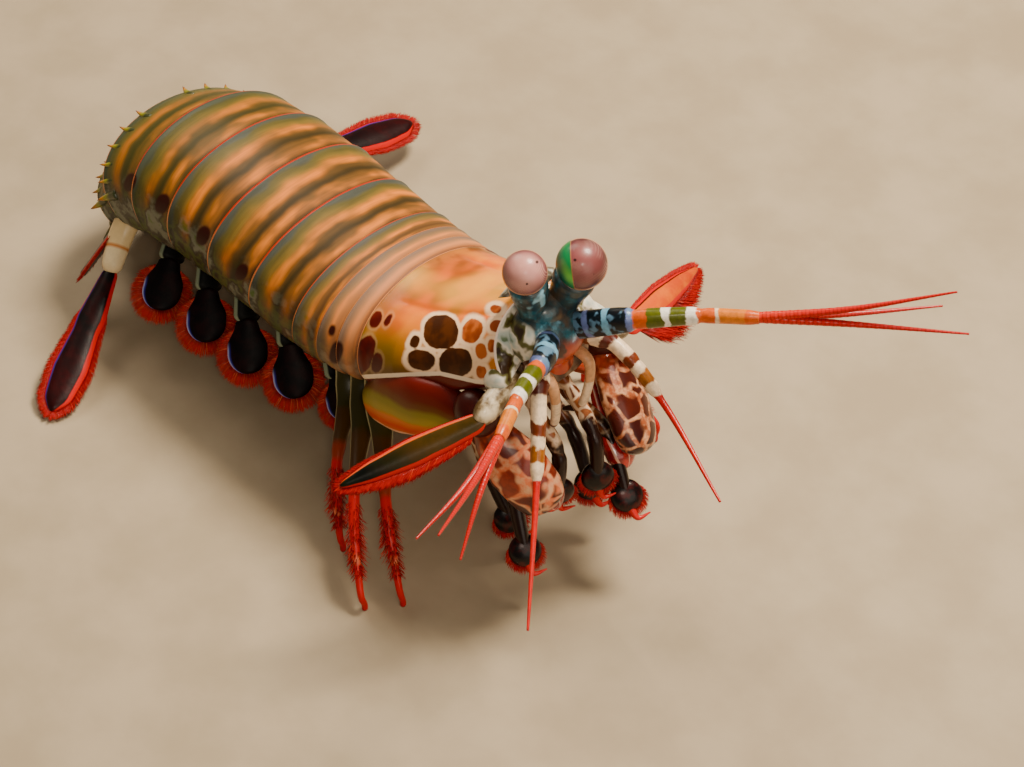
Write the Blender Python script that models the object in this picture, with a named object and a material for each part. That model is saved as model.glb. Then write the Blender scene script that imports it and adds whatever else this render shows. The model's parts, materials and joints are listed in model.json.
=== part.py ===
"""Peacock mantis shrimp, life size, standing with its tail curled under and its front raised.

Sizes below are in millimetres and become metres when a mesh is made. The animal faces +X, its left
is +Y and the floor is z = 0. Places are measured from a point on the floor under the rear edge of
the first abdominal segment. At the end the whole animal is shifted to stand over the origin.
"""

import math

import bmesh
import bpy
import numpy as np

MM = 0.001
GAP = 0.3  # clear space between neighbouring pieces
MITRE = GAP / 2

# Body segments from the head backwards: length, pitch and yaw in degrees,
# half width, height above the body axis, depth of the flank below it
AXIS_HEIGHT = 26.5  # of the body axis over the floor, at the rear edge of abdomen_1
SEGMENTS = {
    "thorax_6": (3.0, 13.0, 3.5, 15.0, 9.6, 2.6),
    "thorax_7": (4.0, 8.0, 3.0, 15.3, 9.7, 3.0),
    "thorax_8": (5.0, 3.0, 2.0, 15.6, 9.8, 3.4),
    "abdomen_1": (9.7, -2.0, 1.8, 15.8, 10.0, 3.8),
    "abdomen_2": (9.4, -3.5, 1.5, 15.9, 10.2, 4.2),
    "abdomen_3": (9.7, 3.0, 1.0, 15.9, 10.5, 4.6),
    "abdomen_4": (9.0, 10.0, 0.5, 15.8, 10.7, 5.0),
    "abdomen_5": (9.2, 26.0, -1.0, 15.4, 10.4, 5.0),
    "abdomen_6": (7.6, 50.0, -1.0, 14.2, 8.4, 3.6),
}
FRONT_RIM = 0.955  # a segment's front edge tucks this much inside the rear edge before it
REAR_RIM = 0.985
BELLY_RISE = 1.2  # the belly lies this far above the lower edges of the flanks

# Carapace
CARAPACE_LENGTH = 27.6
CARAPACE_PITCH = (19.0, 39.0)  # at its rear and at its front
CARAPACE_YAW = 2.5
CARAPACE_HALF_WIDTH = (14.6, 9.6)
CARAPACE_HEIGHT = (9.5, 8.4)
CARAPACE_FLANK = (2.2, 1.4, 0.8)

# Underside of the head and thorax, below the carapace
CHEST_HALF_WIDTH = (8.4, 6.0)
CHEST_DEPTH = (6.4, 5.0)

# Head and eyes
HEAD_CENTRE = (45.6, 2.2, 42.6)
HEAD_RADII = (5.2, 6.6, 6.0)
EYE_RADIUS = {"right": 3.05, "left": 3.5}
EYE_CENTRE = {"right": (43.7, -1.0, 54.4), "left": (47.3, 5.95, 54.1)}
EYE_ROOT = {"right": (44.0, 0.4, 46.4), "left": (45.0, 4.6, 46.2)}
EYE_SEAT = {"right": 1.9, "left": 2.2}  # from the middle of the cornea back to its seat on the stalk

# Telson
TELSON_LENGTH = 16.5
TELSON_PITCH = 63.0
TELSON_HALF_WIDTH = 12.0
TELSON_THICKNESS = 4.6

# Swimmerets: where each blade's middle lies, ahead of its segment's middle and out from the axis
PLEOPOD_SWEEP = {1: (8.6, 10.0), 2: (8.9, 12.4), 3: (9.7, 14.4), 4: (9.4, 15.1), 5: (7.8, 16.1)}
PLEOPOD_HEIGHT = 11.0
PLEOPOD_ROOT = 6.4

FLOOR_SIZE = 150.0
FLOOR_DEPTH = 10.0

SIDES = {"right": -1, "left": 1}
MIDLINE = 2.0  # y of the head's midline, as the body bends a little to the left

LIMB_SIDES = 8
FEELER_SIDES = 6

COLOURS = {
    "olive": (0.16, 0.17, 0.07),
    "orange": (0.72, 0.25, 0.05),
    "teal": (0.02, 0.16, 0.18),
    "mauve": (0.42, 0.21, 0.20),
    "cream": (0.74, 0.62, 0.45),
    "brown": (0.22, 0.05, 0.03),
    "red": (0.55, 0.02, 0.02),
    "black": (0.02, 0.02, 0.03),
    "green": (0.05, 0.14, 0.05),
}


def clear_scene():
    for thing in list(bpy.data.objects):
        bpy.data.objects.remove(thing, do_unlink=True)


def make_material(name, colour, roughness=0.35, metallic=0.0):
    material = bpy.data.materials.new(name)
    material.use_nodes = True
    shader = material.node_tree.nodes["Principled BSDF"]
    shader.inputs["Base Color"].default_value = (*colour, 1.0)
    shader.inputs["Roughness"].default_value = roughness
    shader.inputs["Metallic"].default_value = metallic
    return material


def unit(vector):
    vector = np.asarray(vector, float)
    return vector / np.linalg.norm(vector)


def basis(pitch, yaw):
    """Forward, left and up directions of a body section, as rows."""
    p, w = math.radians(pitch), math.radians(yaw)
    forward = np.array([math.cos(p) * math.cos(w), math.cos(p) * math.sin(w), math.sin(p)])
    left = np.array([-math.sin(w), math.cos(w), 0.0])
    return np.stack([forward, left, np.cross(forward, left)])


def smooth_path(points, count):
    """A curve through the points (Catmull-Rom), read at evenly spaced lengths."""
    points = np.asarray(points, float)
    if len(points) == 2:
        return np.linspace(points[0], points[1], count)
    ends = np.vstack([2 * points[0] - points[1], points, 2 * points[-1] - points[-2]])
    fine = []
    for i in range(1, len(ends) - 2):
        a, b, c, d = ends[i - 1 : i + 3]
        t = np.linspace(0.0, 1.0, 24, endpoint=False)[:, None]
        fine.append(
            0.5 * (2 * b + (c - a) * t + (2 * a - 5 * b + 4 * c - d) * t**2
                   + (3 * b - a - 3 * c + d) * t**3)
        )
    fine = np.vstack(fine + [ends[-2:-1]])
    length = np.r_[0.0, np.cumsum(np.linalg.norm(np.diff(fine, axis=0), axis=1))]
    wanted = np.linspace(0.0, length[-1], count)
    return np.stack([np.interp(wanted, length, fine[:, k]) for k in range(3)], axis=1)


def profile(count, *stations):
    """Sizes along a piece, from (position 0 to 1, size) stations."""
    where, size = zip(*stations)
    return np.interp(np.linspace(0.0, 1.0, count), where, size)


def new_object(name, points, faces, material):
    """A closed mesh object in the shrimp's collection, its origin at its first point."""
    points = np.asarray(points, float) * MM
    origin = points[0].copy()
    mesh = bpy.data.meshes.new(name)
    mesh.from_pydata((points - origin).tolist(), [], [list(map(int, f)) for f in faces])
    mesh.update()
    obj = bpy.data.objects.new(name, mesh)
    obj.location = origin
    obj.parent = ROOT
    SHRIMP.objects.link(obj)
    mesh.materials.append(MATERIALS[material])
    edit = bmesh.new()
    edit.from_mesh(mesh)
    bmesh.ops.recalc_face_normals(edit, faces=edit.faces)
    if edit.calc_volume(signed=True) < 0:
        bmesh.ops.reverse_faces(edit, faces=edit.faces)
    edit.to_mesh(mesh)
    edit.free()
    return obj


def loft(name, rings, material):
    """A closed body through rings of equal count, with a flat face at each end."""
    count, around = len(rings), len(rings[0])
    faces = []
    for i in range(count - 1):
        for j in range(around):
            a, b = i * around + j, i * around + (j + 1) % around
            faces.append((a, b, b + around, a + around))
    faces.append(tuple(range(around)))
    faces.append(tuple(range((count - 1) * around, count * around)))
    return new_object(name, np.vstack(rings), faces, material)


def sweep(name, path, half_width, half_height, across, material, sides=LIMB_SIDES):
    """A limb of oval section along a path. across is the direction of its width."""
    tangent = np.gradient(path, axis=0)
    tangent /= np.linalg.norm(tangent, axis=1)[:, None]
    wide = unit(across) - (tangent @ unit(across))[:, None] * tangent
    wide /= np.linalg.norm(wide, axis=1)[:, None]
    high = np.cross(tangent, wide)
    angle = np.linspace(0.0, 2 * math.pi, sides, endpoint=False)
    half_width = np.broadcast_to(half_width, len(path))
    half_height = np.broadcast_to(half_height, len(path))
    rings = [
        path[i]
        + np.outer(np.cos(angle), wide[i]) * half_width[i]
        + np.outer(np.sin(angle), high[i]) * half_height[i]
        for i in range(len(path))
    ]
    return loft(name, rings, material)


def spine(root, tip, radius, across=(0.0, 0.0, 1.0)):
    """A tapered spine of four sides, as a piece to be joined."""
    path = np.linspace(root, tip, 2)
    return sweep("spine", path, [radius, 0.12], [radius, 0.12], across, "red", sides=4)


def leaf(name, path, half_width, normal, material, middle=1.2, edge=0.6, fringe=1.6,
         lean=0.8, bare=0.12, camber=0.12):
    """A thin paddle along a path, thick along its middle, with a toothed fringe.

    Each tooth is a bundle of bristles. Both faces are divided alike. The fringe starts after
    the bare part at the root and runs round the tip.
    """
    count = len(path)
    tangent = np.gradient(path, axis=0)
    tangent /= np.linalg.norm(tangent, axis=1)[:, None]
    up = unit(normal) - (tangent @ unit(normal))[:, None] * tangent
    up /= np.linalg.norm(up, axis=1)[:, None]
    side = np.cross(tangent, up)
    width = np.asarray(half_width, float)[:, None]
    rows = []
    for offset, thick in ((-1, edge), (0, middle), (1, edge)):
        line = path + side * width * offset - up * width * camber * abs(offset)
        rows.append((line + up * thick / 2, line - up * thick / 2))
    points = []
    for top, below in rows:
        points += [*top, *below]

    def at(row, level, i):
        return (row * 2 + level) * count + i

    faces = []
    for i in range(count - 1):
        for row in (0, 1):
            near, far = (row, row + 1) if row == 0 else (row + 1, row)
            for level in (0, 1):
                a, b = at(near, level, i), at(near, level, i + 1)
                c, d = at(far, level, i + 1), at(far, level, i)
                faces += [(a, b, c), (a, c, d)]
        for row, outward in ((0, -1), (2, 1)):
            ends = [at(row, 0, i), at(row, 1, i), at(row, 0, i + 1), at(row, 1, i + 1)]
            if i < bare * (count - 1):
                faces.append((ends[0], ends[1], ends[3], ends[2]))
                continue
            middle_of_rim = (points[ends[0]] + points[ends[3]]) / 2
            step = points[ends[2]] - points[ends[0]]
            out = unit(np.cross(step, up[i]) * outward)
            tip = len(points)
            points.append(middle_of_rim + out * fringe + unit(step) * fringe * lean)
            faces += [(ends[0], ends[2], tip), (ends[1], ends[3], tip),
                      (ends[0], ends[1], tip), (ends[2], ends[3], tip)]
    for row in (0, 1):
        faces.append((at(row, 0, 0), at(row + 1, 0, 0), at(row + 1, 1, 0), at(row, 1, 0)))
    tip = len(points)
    points.append(path[-1] + tangent[-1] * fringe)
    end = count - 1
    for row in (0, 1):
        for level in (0, 1):
            faces.append((at(row, level, end), at(row + 1, level, end), tip))
    for row in (0, 2):
        faces.append((at(row, 0, end), at(row, 1, end), tip))
    return new_object(name, points, faces, material)


def evaluated_mesh(obj):
    bpy.context.view_layer.update()
    graph = bpy.context.evaluated_depsgraph_get()
    return bpy.data.meshes.new_from_object(obj.evaluated_get(graph))


def keep_largest(obj):
    """Keeps the largest closed surface of an object and drops any scrap."""
    edit = bmesh.new()
    edit.from_mesh(obj.data)
    left, islands = set(edit.faces), []
    while left:
        island, front = set(), [left.pop()]
        while front:
            face = front.pop()
            island.add(face)
            for edge in face.edges:
                for other in edge.link_faces:
                    if other in left:
                        left.remove(other)
                        front.append(other)
        islands.append(island)
    if len(islands) > 1:
        islands.sort(key=lambda faces: sum(face.calc_area() for face in faces))
        scrap = [face for island in islands[:-1] for face in island]
        bmesh.ops.delete(edit, geom=scrap, context="FACES")
    edit.to_mesh(obj.data)
    edit.free()


def boolean(obj, others, operation, solver="EXACT"):
    """Joins the other objects to this one, or cuts them from it, and removes them."""
    group = bpy.data.collections.new("pieces")
    CUTTERS.children.link(group)
    for other in others:
        for owner in list(other.users_collection):
            owner.objects.unlink(other)
        group.objects.link(other)
    modifier = obj.modifiers.new(operation.lower(), "BOOLEAN")
    modifier.operation = operation
    modifier.operand_type = "COLLECTION"
    modifier.collection = group
    modifier.solver = solver
    old, obj_mesh = obj.data, evaluated_mesh(obj)
    obj.modifiers.clear()
    obj.data = obj_mesh
    obj_mesh.name = obj.name
    bpy.data.meshes.remove(old)
    for other in others:
        bpy.data.objects.remove(other, do_unlink=True)
    bpy.data.collections.remove(group)
    keep_largest(obj)
    return obj


def join(obj, *others, solver="EXACT"):
    return boolean(obj, others, "UNION", solver)


def swollen(obj, by=GAP):
    """A copy of an object, moved out along its normals."""
    copy = obj.copy()
    copy.data = obj.data.copy()
    SHRIMP.objects.link(copy)
    edit = bmesh.new()
    edit.from_mesh(copy.data)
    bmesh.ops.remove_doubles(edit, verts=edit.verts, dist=1e-7)
    edit.normal_update()
    moved = [v.co + v.normal * by * MM * min(v.calc_shell_factor(), 1.6) for v in edit.verts]
    for vertex, place in zip(edit.verts, moved):
        vertex.co = place
    edit.to_mesh(copy.data)
    edit.free()
    return copy


def clear_of(obj, *neighbours, solver="EXACT"):
    """Cuts a piece back so that it meets its neighbours face to face, with a gap."""
    for other in neighbours:
        boolean(obj, [swollen(other)], "DIFFERENCE", solver)
    return obj


def lay_on_floor(obj):
    """Cuts what lies below the floor, which leaves small flats where the piece rests."""
    across = np.array([(-1.0, -1.0), (1.0, -1.0), (1.0, 1.0), (-1.0, 1.0)]) * FLOOR_SIZE
    rings = [np.column_stack([across, np.full(4, level)]) for level in (-FLOOR_DEPTH, 0.0)]
    return boolean(obj, [loft("floor", rings, "black")], "DIFFERENCE")


def section(centre, axes, half_width, height, flank, arch=9, belly_rise=BELLY_RISE):
    """One ring of the body: an arched back, upright flanks and a slightly hollow belly."""
    angle = np.radians(np.linspace(-90.0, 90.0, arch))
    back = np.stack([half_width * np.sin(angle), height * np.cos(angle) ** 0.9], axis=1)
    across = half_width * np.array([0.99, 0.95, 0.87, 0.7, 0.0])
    down = np.array([-0.5, -1.0, -1.0, -1.0, -1.0]) * flank
    down[3:] += belly_rise
    left = np.stack([across, down], axis=1)
    right = left[:-1][::-1] * [-1, 1]
    outline = np.vstack([back, left, right])
    return centre + outline[:, :1] * axes[1] + outline[:, 1:] * axes[2]


def chain():
    """Joint centres and directions along the body, by segment: (front, rear, pitch, yaw)."""
    names = list(SEGMENTS)
    anchor = names.index("abdomen_1")
    ends = {}
    place = np.array([0.0, 0.0, AXIS_HEIGHT])
    for name in names[: anchor + 1][::-1]:
        length, pitch, yaw = SEGMENTS[name][:3]
        front = place + basis(pitch, yaw)[0] * length
        ends[name] = (front, place)
        place = front
    place = np.array([0.0, 0.0, AXIS_HEIGHT])
    for name in names[anchor + 1 :]:
        length, pitch, yaw = SEGMENTS[name][:3]
        rear = place - basis(pitch, yaw)[0] * length
        ends[name] = (place, rear)
        place = rear
    return ends


def mitre(name, ahead):
    """Pitch and yaw of the plane that a segment shares with the one ahead or behind."""
    names = list(SEGMENTS)
    other = names.index(name) + (-1 if ahead else 1)
    own = SEGMENTS[name][1:3]
    if other < 0:
        return (own[0] + CARAPACE_PITCH[0]) / 2, (own[1] + CARAPACE_YAW) / 2
    if other == len(names):
        return (own[0] + TELSON_PITCH) / 2, own[1]
    return tuple((a + b) / 2 for a, b in zip(own, SEGMENTS[names[other]][1:3]))


def body_segment(name, ends):
    """One ring of the trunk, its rear edge standing over the front edge of the next."""
    pitch, yaw, half_width, height, flank = SEGMENTS[name][1:]
    front, rear = ends[name]
    front_pitch, front_yaw = mitre(name, ahead=True)
    rear_pitch, rear_yaw = mitre(name, ahead=False)
    rings = []
    for t, size in ((0.0, FRONT_RIM), (0.18, 0.975), (0.86, 1.0), (1.0, REAR_RIM)):
        turn = np.interp(t, (0.0, 0.5, 1.0), (front_pitch, pitch, rear_pitch))
        swing = np.interp(t, (0.0, 0.5, 1.0), (front_yaw, yaw, rear_yaw))
        axes = basis(turn, swing)
        inset = MITRE * np.interp(t, (0.0, 1.0), (-1.0, 1.0))
        centre = front + (rear - front) * t + axes[0] * inset
        rings.append(section(centre, axes, half_width * size, height * size, flank * size))
    return loft(name, rings, "olive")


def carapace_axis(start, count):
    """Centres and directions along the carapace, from its rear to its front."""
    t = np.linspace(0.0, 1.0, count)
    pitch = CARAPACE_PITCH[0] + (CARAPACE_PITCH[1] - CARAPACE_PITCH[0]) * t
    axes = np.array([basis(p, CARAPACE_YAW) for p in pitch])
    axes[0] = basis(*mitre("thorax_6", ahead=True))
    step = CARAPACE_LENGTH / (count - 1)
    centres = start + np.vstack([np.zeros(3), np.cumsum(axes[:-1, 0] * step, axis=0)])
    return t, centres, axes


def carapace(start):
    """The shield: widest behind, narrower in front, with a rolled front edge."""
    t, centres, axes = carapace_axis(start, 9)
    width = np.interp(t, (0.0, 0.3, 1.0), (CARAPACE_HALF_WIDTH[0], 14.2, CARAPACE_HALF_WIDTH[1]))
    height = np.interp(t, (0.0, 1.0), CARAPACE_HEIGHT)
    flank = np.interp(t, (0.0, 0.4, 1.0), CARAPACE_FLANK)
    size = np.interp(t, (0.0, 0.06, 0.9, 1.0), (0.98, 1.0, 1.0, 0.94))
    centres = centres.copy()
    centres[0] += axes[0, 0] * MITRE
    rings = [
        section(centres[i], axes[i], width[i] * size[i], height[i] * size[i], flank[i], arch=13)
        for i in range(len(t))
    ]
    return loft("carapace", rings, "orange")


def chest(start):
    """The underside below the carapace, which carries the claws and the mouth limbs."""
    t, centres, axes = carapace_axis(start, 6)
    flank = np.interp(t, (0.0, 0.4, 1.0), CARAPACE_FLANK)
    width = np.interp(t, (0.0, 1.0), CHEST_HALF_WIDTH)
    depth = np.interp(t, (0.0, 1.0), CHEST_DEPTH)
    rings = []
    for i in range(len(t)):
        top = BELLY_RISE - flank[i] - GAP
        outline = np.array([
            (1.0, 0.0), (1.0, -0.45), (0.8, -0.85), (0.4, -1.0),
            (-0.4, -1.0), (-0.8, -0.85), (-1.0, -0.45), (-1.0, 0.0),
        ]) * (width[i], depth[i])
        outline[:, 1] += top
        centre = centres[i] + axes[i, 0] * (GAP if i == 0 else 0.0)
        rings.append(centre + outline[:, :1] * axes[i, 1] + outline[:, 1:] * axes[i, 2])
    return loft("thorax_front", rings, "brown")


def ball(name, centre, radii, pitch, material, rings=9, sides=14):
    """An ellipsoid with its long axis along a pitched direction."""
    axes = basis(pitch, CARAPACE_YAW)
    angle = np.radians(np.linspace(-84.0, 84.0, rings))
    path = centre + np.outer(np.sin(angle), axes[0]) * radii[0]
    return sweep(name, path, np.cos(angle) * radii[1], np.cos(angle) * radii[2], axes[1],
                 material, sides)


def head(shield, underside):
    """The block in front of the carapace, with the upper lip below it."""
    block = ball("head", np.array(HEAD_CENTRE), HEAD_RADII, 40.0, "teal")
    lip = ball("lip", np.array(HEAD_CENTRE) + (0.6, 0.0, -6.0), (3.4, 3.4, 3.0), 60.0, "teal",
               rings=6, sides=10)
    return clear_of(join(block, lip), shield, underside)


def rostral_plate(shield, block, stalks):
    """The small hinged plate over the roots of the eyes."""
    root = np.array((39.6, MIDLINE, 48.4))
    path = smooth_path([root, root + (2.4, 0.1, 1.5), root + (4.4, 0.2, 2.0)], 6)
    plate = leaf("rostral_plate", path, profile(6, (0.0, 4.6), (0.4, 4.2), (1.0, 1.2)),
                 (-0.5, 0.0, 0.85), "orange", middle=1.1, edge=0.8, fringe=0.7, bare=2.0)
    return clear_of(plate, shield, block, *stalks)


def eye(side):
    """A stalk that widens to a cup, and the cornea seated on it."""
    centre, root = np.array(EYE_CENTRE[side]), np.array(EYE_ROOT[side])
    axis = unit(centre - root)
    size, depth = EYE_RADIUS[side], EYE_SEAT[side]
    seat = centre - axis * (depth + GAP)
    path = smooth_path([root, (root + seat) / 2, seat], 6)
    radius = profile(6, (0.0, 1.9), (0.4, 2.2), (0.8, 2.6), (1.0, 2.35))
    stalk = sweep(f"eyestalk_{side}", path, radius, radius, (0.2, 1.0, 0.0), "teal", sides=12)
    reach = np.linspace(-depth, size * 0.985, 10)
    ring = np.sqrt(np.maximum(size**2 - reach**2, 0.0))
    cornea = sweep(f"cornea_{side}", centre + np.outer(reach, axis), ring, ring,
                   (0.2, 1.0, 0.0), "mauve", sides=18)
    return stalk, cornea


def telson(start):
    """The tail plate, with a keel along the middle and three pairs of teeth at its edge."""
    axes = basis(TELSON_PITCH, SEGMENTS["abdomen_6"][2])
    back, left, up = -axes[0], axes[1], axes[2]
    start = start + back * GAP
    t = np.array([0.0, 0.2, 0.45, 0.7, 0.88])
    width = TELSON_HALF_WIDTH * np.array([0.98, 1.04, 1.0, 0.84, 0.62])
    thick = TELSON_THICKNESS * np.array([1.0, 0.95, 0.8, 0.6, 0.42])
    shape = np.array([
        (0.0, 0.62), (0.1, 0.42), (0.3, 0.34), (0.55, 0.3), (0.85, 0.14), (1.0, -0.1),
        (0.85, -0.35), (0.4, -0.42), (-0.4, -0.42), (-0.85, -0.35), (-1.0, -0.1),
        (-0.85, 0.14), (-0.55, 0.3), (-0.3, 0.34), (-0.1, 0.42),
    ])
    rings = [
        start + back * TELSON_LENGTH * t[i]
        + shape[:, :1] * width[i] * left + shape[:, 1:] * thick[i] * up
        for i in range(len(t))
    ]
    plate = loft("telson", rings, "olive")
    teeth = []
    for place, across, reach, lean in ((0.62, 0.82, 3.2, 0.7), (0.76, 0.66, 3.2, 0.45),
                                       (0.84, 0.3, 3.0, 0.1)):
        for sign in (-1, 1):
            root = start + back * TELSON_LENGTH * place + left * TELSON_HALF_WIDTH * across * sign
            tip = root + (back + left * sign * lean) * reach
            teeth.append(spine(root - back * 1.0, tip, 1.0, up))
    return join(plate, *teeth)


def tail_spines(segment, ends, name):
    """The spines along the rear edge of the last two segments of the abdomen."""
    pitch, yaw, half_width, height = SEGMENTS[name][1:5]
    axes = basis(*mitre(name, ahead=False))
    rear = ends[name][1]
    angles = {"abdomen_5": (-84, 84), "abdomen_6": (-80, -52, -24, 24, 52, 80)}[name]
    pieces = []
    for angle in map(math.radians, angles):
        out = axes[1] * math.sin(angle) * half_width + axes[2] * math.cos(angle) * height
        outward = unit(axes[1] * math.sin(angle) + axes[2] * math.cos(angle))
        root = rear + out * 0.92 + axes[0] * 1.8
        pieces.append(spine(root, rear + out * 1.0 + outward * 1.4 - axes[0] * 0.9, 0.9, axes[0]))
    return join(segment, *pieces)


def antennule(side, block):
    """First feeler: three stout joints and three whips."""
    if side == "right":
        joints = [(46.6, 0.6, 43.4), (50.6, -3.7, 45.2), (54.2, -11.0, 46.6), (59.0, -19.0, 47.3)]
        tips = [(69.5, -38.0, 52.5), (64.5, -37.5, 47.0), (67.5, -33.0, 42.0)]
    else:
        joints = [(47.4, 4.4, 43.6), (55.0, 8.8, 47.6), (61.2, 15.0, 48.8), (67.1, 20.0, 49.5)]
        tips = [(86.0, 36.5, 57.5), (89.0, 36.5, 52.0), (82.0, 39.5, 50.0)]
    path = smooth_path(joints, 12)
    size = profile(12, (0.0, 2.3), (0.3, 1.9), (0.36, 1.35), (0.42, 1.55), (0.64, 1.35),
                   (0.7, 1.05), (0.76, 1.25), (1.0, 1.0))
    feeler = sweep(f"antennule_{side}", path, size, size * 0.85, (0.0, 0.0, 1.0), "teal")
    end = np.array(joints[-1])
    heading = unit(end - np.array(joints[-2]))
    whips = []
    for k, tip in enumerate(tips):
        spread = (np.array(tip) - end) * 0.35 + heading * 2.5
        path = smooth_path([end - heading * 1.2, end + spread, tip], 7)
        size = profile(7, (0.0, 0.62), (0.5, 0.4), (1.0, 0.16))
        whips.append(sweep("whip", path, size, size, (0.1, 0.2, 1.0), "red", FEELER_SIDES))
    return clear_of(join(feeler, *whips), block)


def antenna(side, *neighbours):
    """Second feeler: a banded stem and one whip."""
    if side == "right":
        joints = [(45.0, -0.6, 40.6), (50.6, -4.6, 39.6), (57.8, -11.4, 30.6), (70.5, -24.2, 23.0)]
    else:
        joints = [(45.5, 5.4, 41.4), (51.8, 8.4, 40.6), (61.5, 8.7, 36.0), (76.5, 4.8, 31.9)]
    path = smooth_path(joints, 14)
    size = profile(14, (0.0, 1.9), (0.16, 1.6), (0.2, 1.1), (0.45, 0.95), (0.5, 0.55), (1.0, 0.2))
    stem = sweep(f"antenna_{side}", path, size, size, (0.0, 0.0, 1.0), "cream", 7)
    return clear_of(stem, *neighbours)


def antennal_scale(side, *neighbours):
    """The broad fringed scale beside the antenna."""
    if side == "right":
        root, elbow, tip = (45.4, -3.6, 38.4), (48.2, -10.4, 37.0), (39.4, -30.2, 30.0)
    else:
        root, elbow, tip = (45.4, 8.0, 38.4), (48.2, 14.8, 37.2), (42.4, 33.6, 32.0)
    arm = sweep(f"antennal_scale_{side}", smooth_path([root, elbow], 4), 1.9, 1.7,
                (0.0, 0.0, 1.0), "green")
    elbow, tip = np.array(elbow), np.array(tip)
    heading = unit(tip - elbow)
    path = np.linspace(elbow - heading * 1.4, tip, 10)
    width = profile(10, (0.0, 1.6), (0.25, 2.5), (0.5, 2.8), (0.8, 2.0), (1.0, 0.5))
    blade = leaf("blade", path, width, (0.55, -0.1, 0.83), "green", middle=1.3, edge=0.7,
                 fringe=1.5, bare=0.2)
    return clear_of(join(arm, blade), *neighbours)


def claw(side, block, shield):
    """The folded striking claw: arm, wrist, palm and the finger with its hammer heel."""
    sign = SIDES[side]
    if side == "right":
        wrist, palm_end, facing = (43.6, -9.6, 32.6), (55.0, -6.0, 20.2), (0.65, -0.55, 0.5)
    else:
        wrist, palm_end, facing = (43.4, 13.0, 32.4), (56.6, 9.8, 21.2), (0.75, 0.3, 0.6)
    wrist, palm_end = np.array(wrist), np.array(palm_end)
    rear_y = 0.9 + 12.9 * sign
    path = smooth_path([
        (28.5, 1.2 + 4.5 * sign, 23.0), (24.6, rear_y - 3.0 * sign, 20.6),
        (25.4, rear_y, 22.6), (35.0, rear_y - 0.4 * sign, 29.0), wrist - (1.6, 0.0, 1.2),
    ], 12)
    merus = sweep(
        f"raptorial_merus_{side}", path,
        profile(12, (0.0, 2.2), (0.25, 2.4), (0.5, 4.8), (0.75, 4.9), (0.9, 4.2), (1.0, 2.4)),
        profile(12, (0.0, 2.0), (0.25, 2.2), (0.5, 2.9), (0.75, 2.8), (1.0, 1.9)),
        (-0.5, 0.0, 0.86), "olive", sides=10,
    )
    carpus = ball(f"raptorial_carpus_{side}", wrist, (3.0, 2.5, 2.6), -35.0, "cream", 7, 10)
    heading = unit(palm_end - wrist)
    across = np.cross(heading, unit(facing))
    count = 11
    path = smooth_path([wrist + heading * 1.6, (wrist + palm_end) / 2 + unit(facing) * 0.8,
                        palm_end], count)
    palm = sweep(
        f"raptorial_propodus_{side}", path,
        profile(count, (0.0, 1.6), (0.12, 2.9), (0.45, 4.3), (0.8, 3.9), (0.93, 2.9), (1.0, 1.2)),
        profile(count, (0.0, 1.3), (0.12, 2.0), (0.5, 2.5), (0.85, 2.3), (1.0, 0.9)),
        across, "cream", sides=12,
    )
    behind = -unit(facing)
    heel = palm_end + behind * 3.7 - heading * 1.2
    path = smooth_path([
        heel + heading * 3.0, heel, heel - heading * 5.0 + behind * 0.4,
        heel - heading * 13.5 - behind * 0.2,
    ], 10)
    finger = sweep(
        f"raptorial_dactyl_{side}", path,
        profile(10, (0.0, 1.2), (0.12, 2.6), (0.3, 2.7), (0.5, 1.6), (1.0, 0.35)),
        profile(10, (0.0, 0.9), (0.12, 1.9), (0.3, 1.9), (0.5, 1.2), (1.0, 0.3)),
        across, "red", sides=10,
    )
    clear_of(carpus, shield)
    clear_of(merus, shield, block, carpus)
    clear_of(palm, carpus)
    clear_of(finger, palm)
    return merus, carpus, palm, finger


def maxilliped(name, points, sizes, disc, facing, block, others):
    """A mouth limb. With a disc it ends in a round bristly palm and a small hooked finger."""
    path = smooth_path(points, 10)
    size = profile(10, *sizes)
    limb = sweep(name, path, size, size * 0.85, facing, "brown")
    if disc:
        end, heading = path[-1], unit(path[-1] - path[-2])
        round_path = end + np.outer(np.linspace(-disc, disc, 6), heading)
        bow = np.sqrt(np.maximum(1.02 - np.linspace(-1.0, 1.0, 6) ** 2, 0.02))
        side = np.cross(heading, unit(facing))
        palm = sweep("palm", round_path, bow * disc, bow * 1.2, side, "black", 10)
        hook = smooth_path([end + heading * disc * 0.7, end + heading * (disc + 1.2) - side * 0.6,
                            end + heading * (disc + 1.0) - side * 2.6], 5)
        thin = profile(5, (0.0, 0.7), (1.0, 0.2))
        join(limb, palm, sweep("hook", hook, thin, thin, facing, "red", 5))
    return clear_of(limb, block, *others, solver="MANIFOLD")


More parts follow.
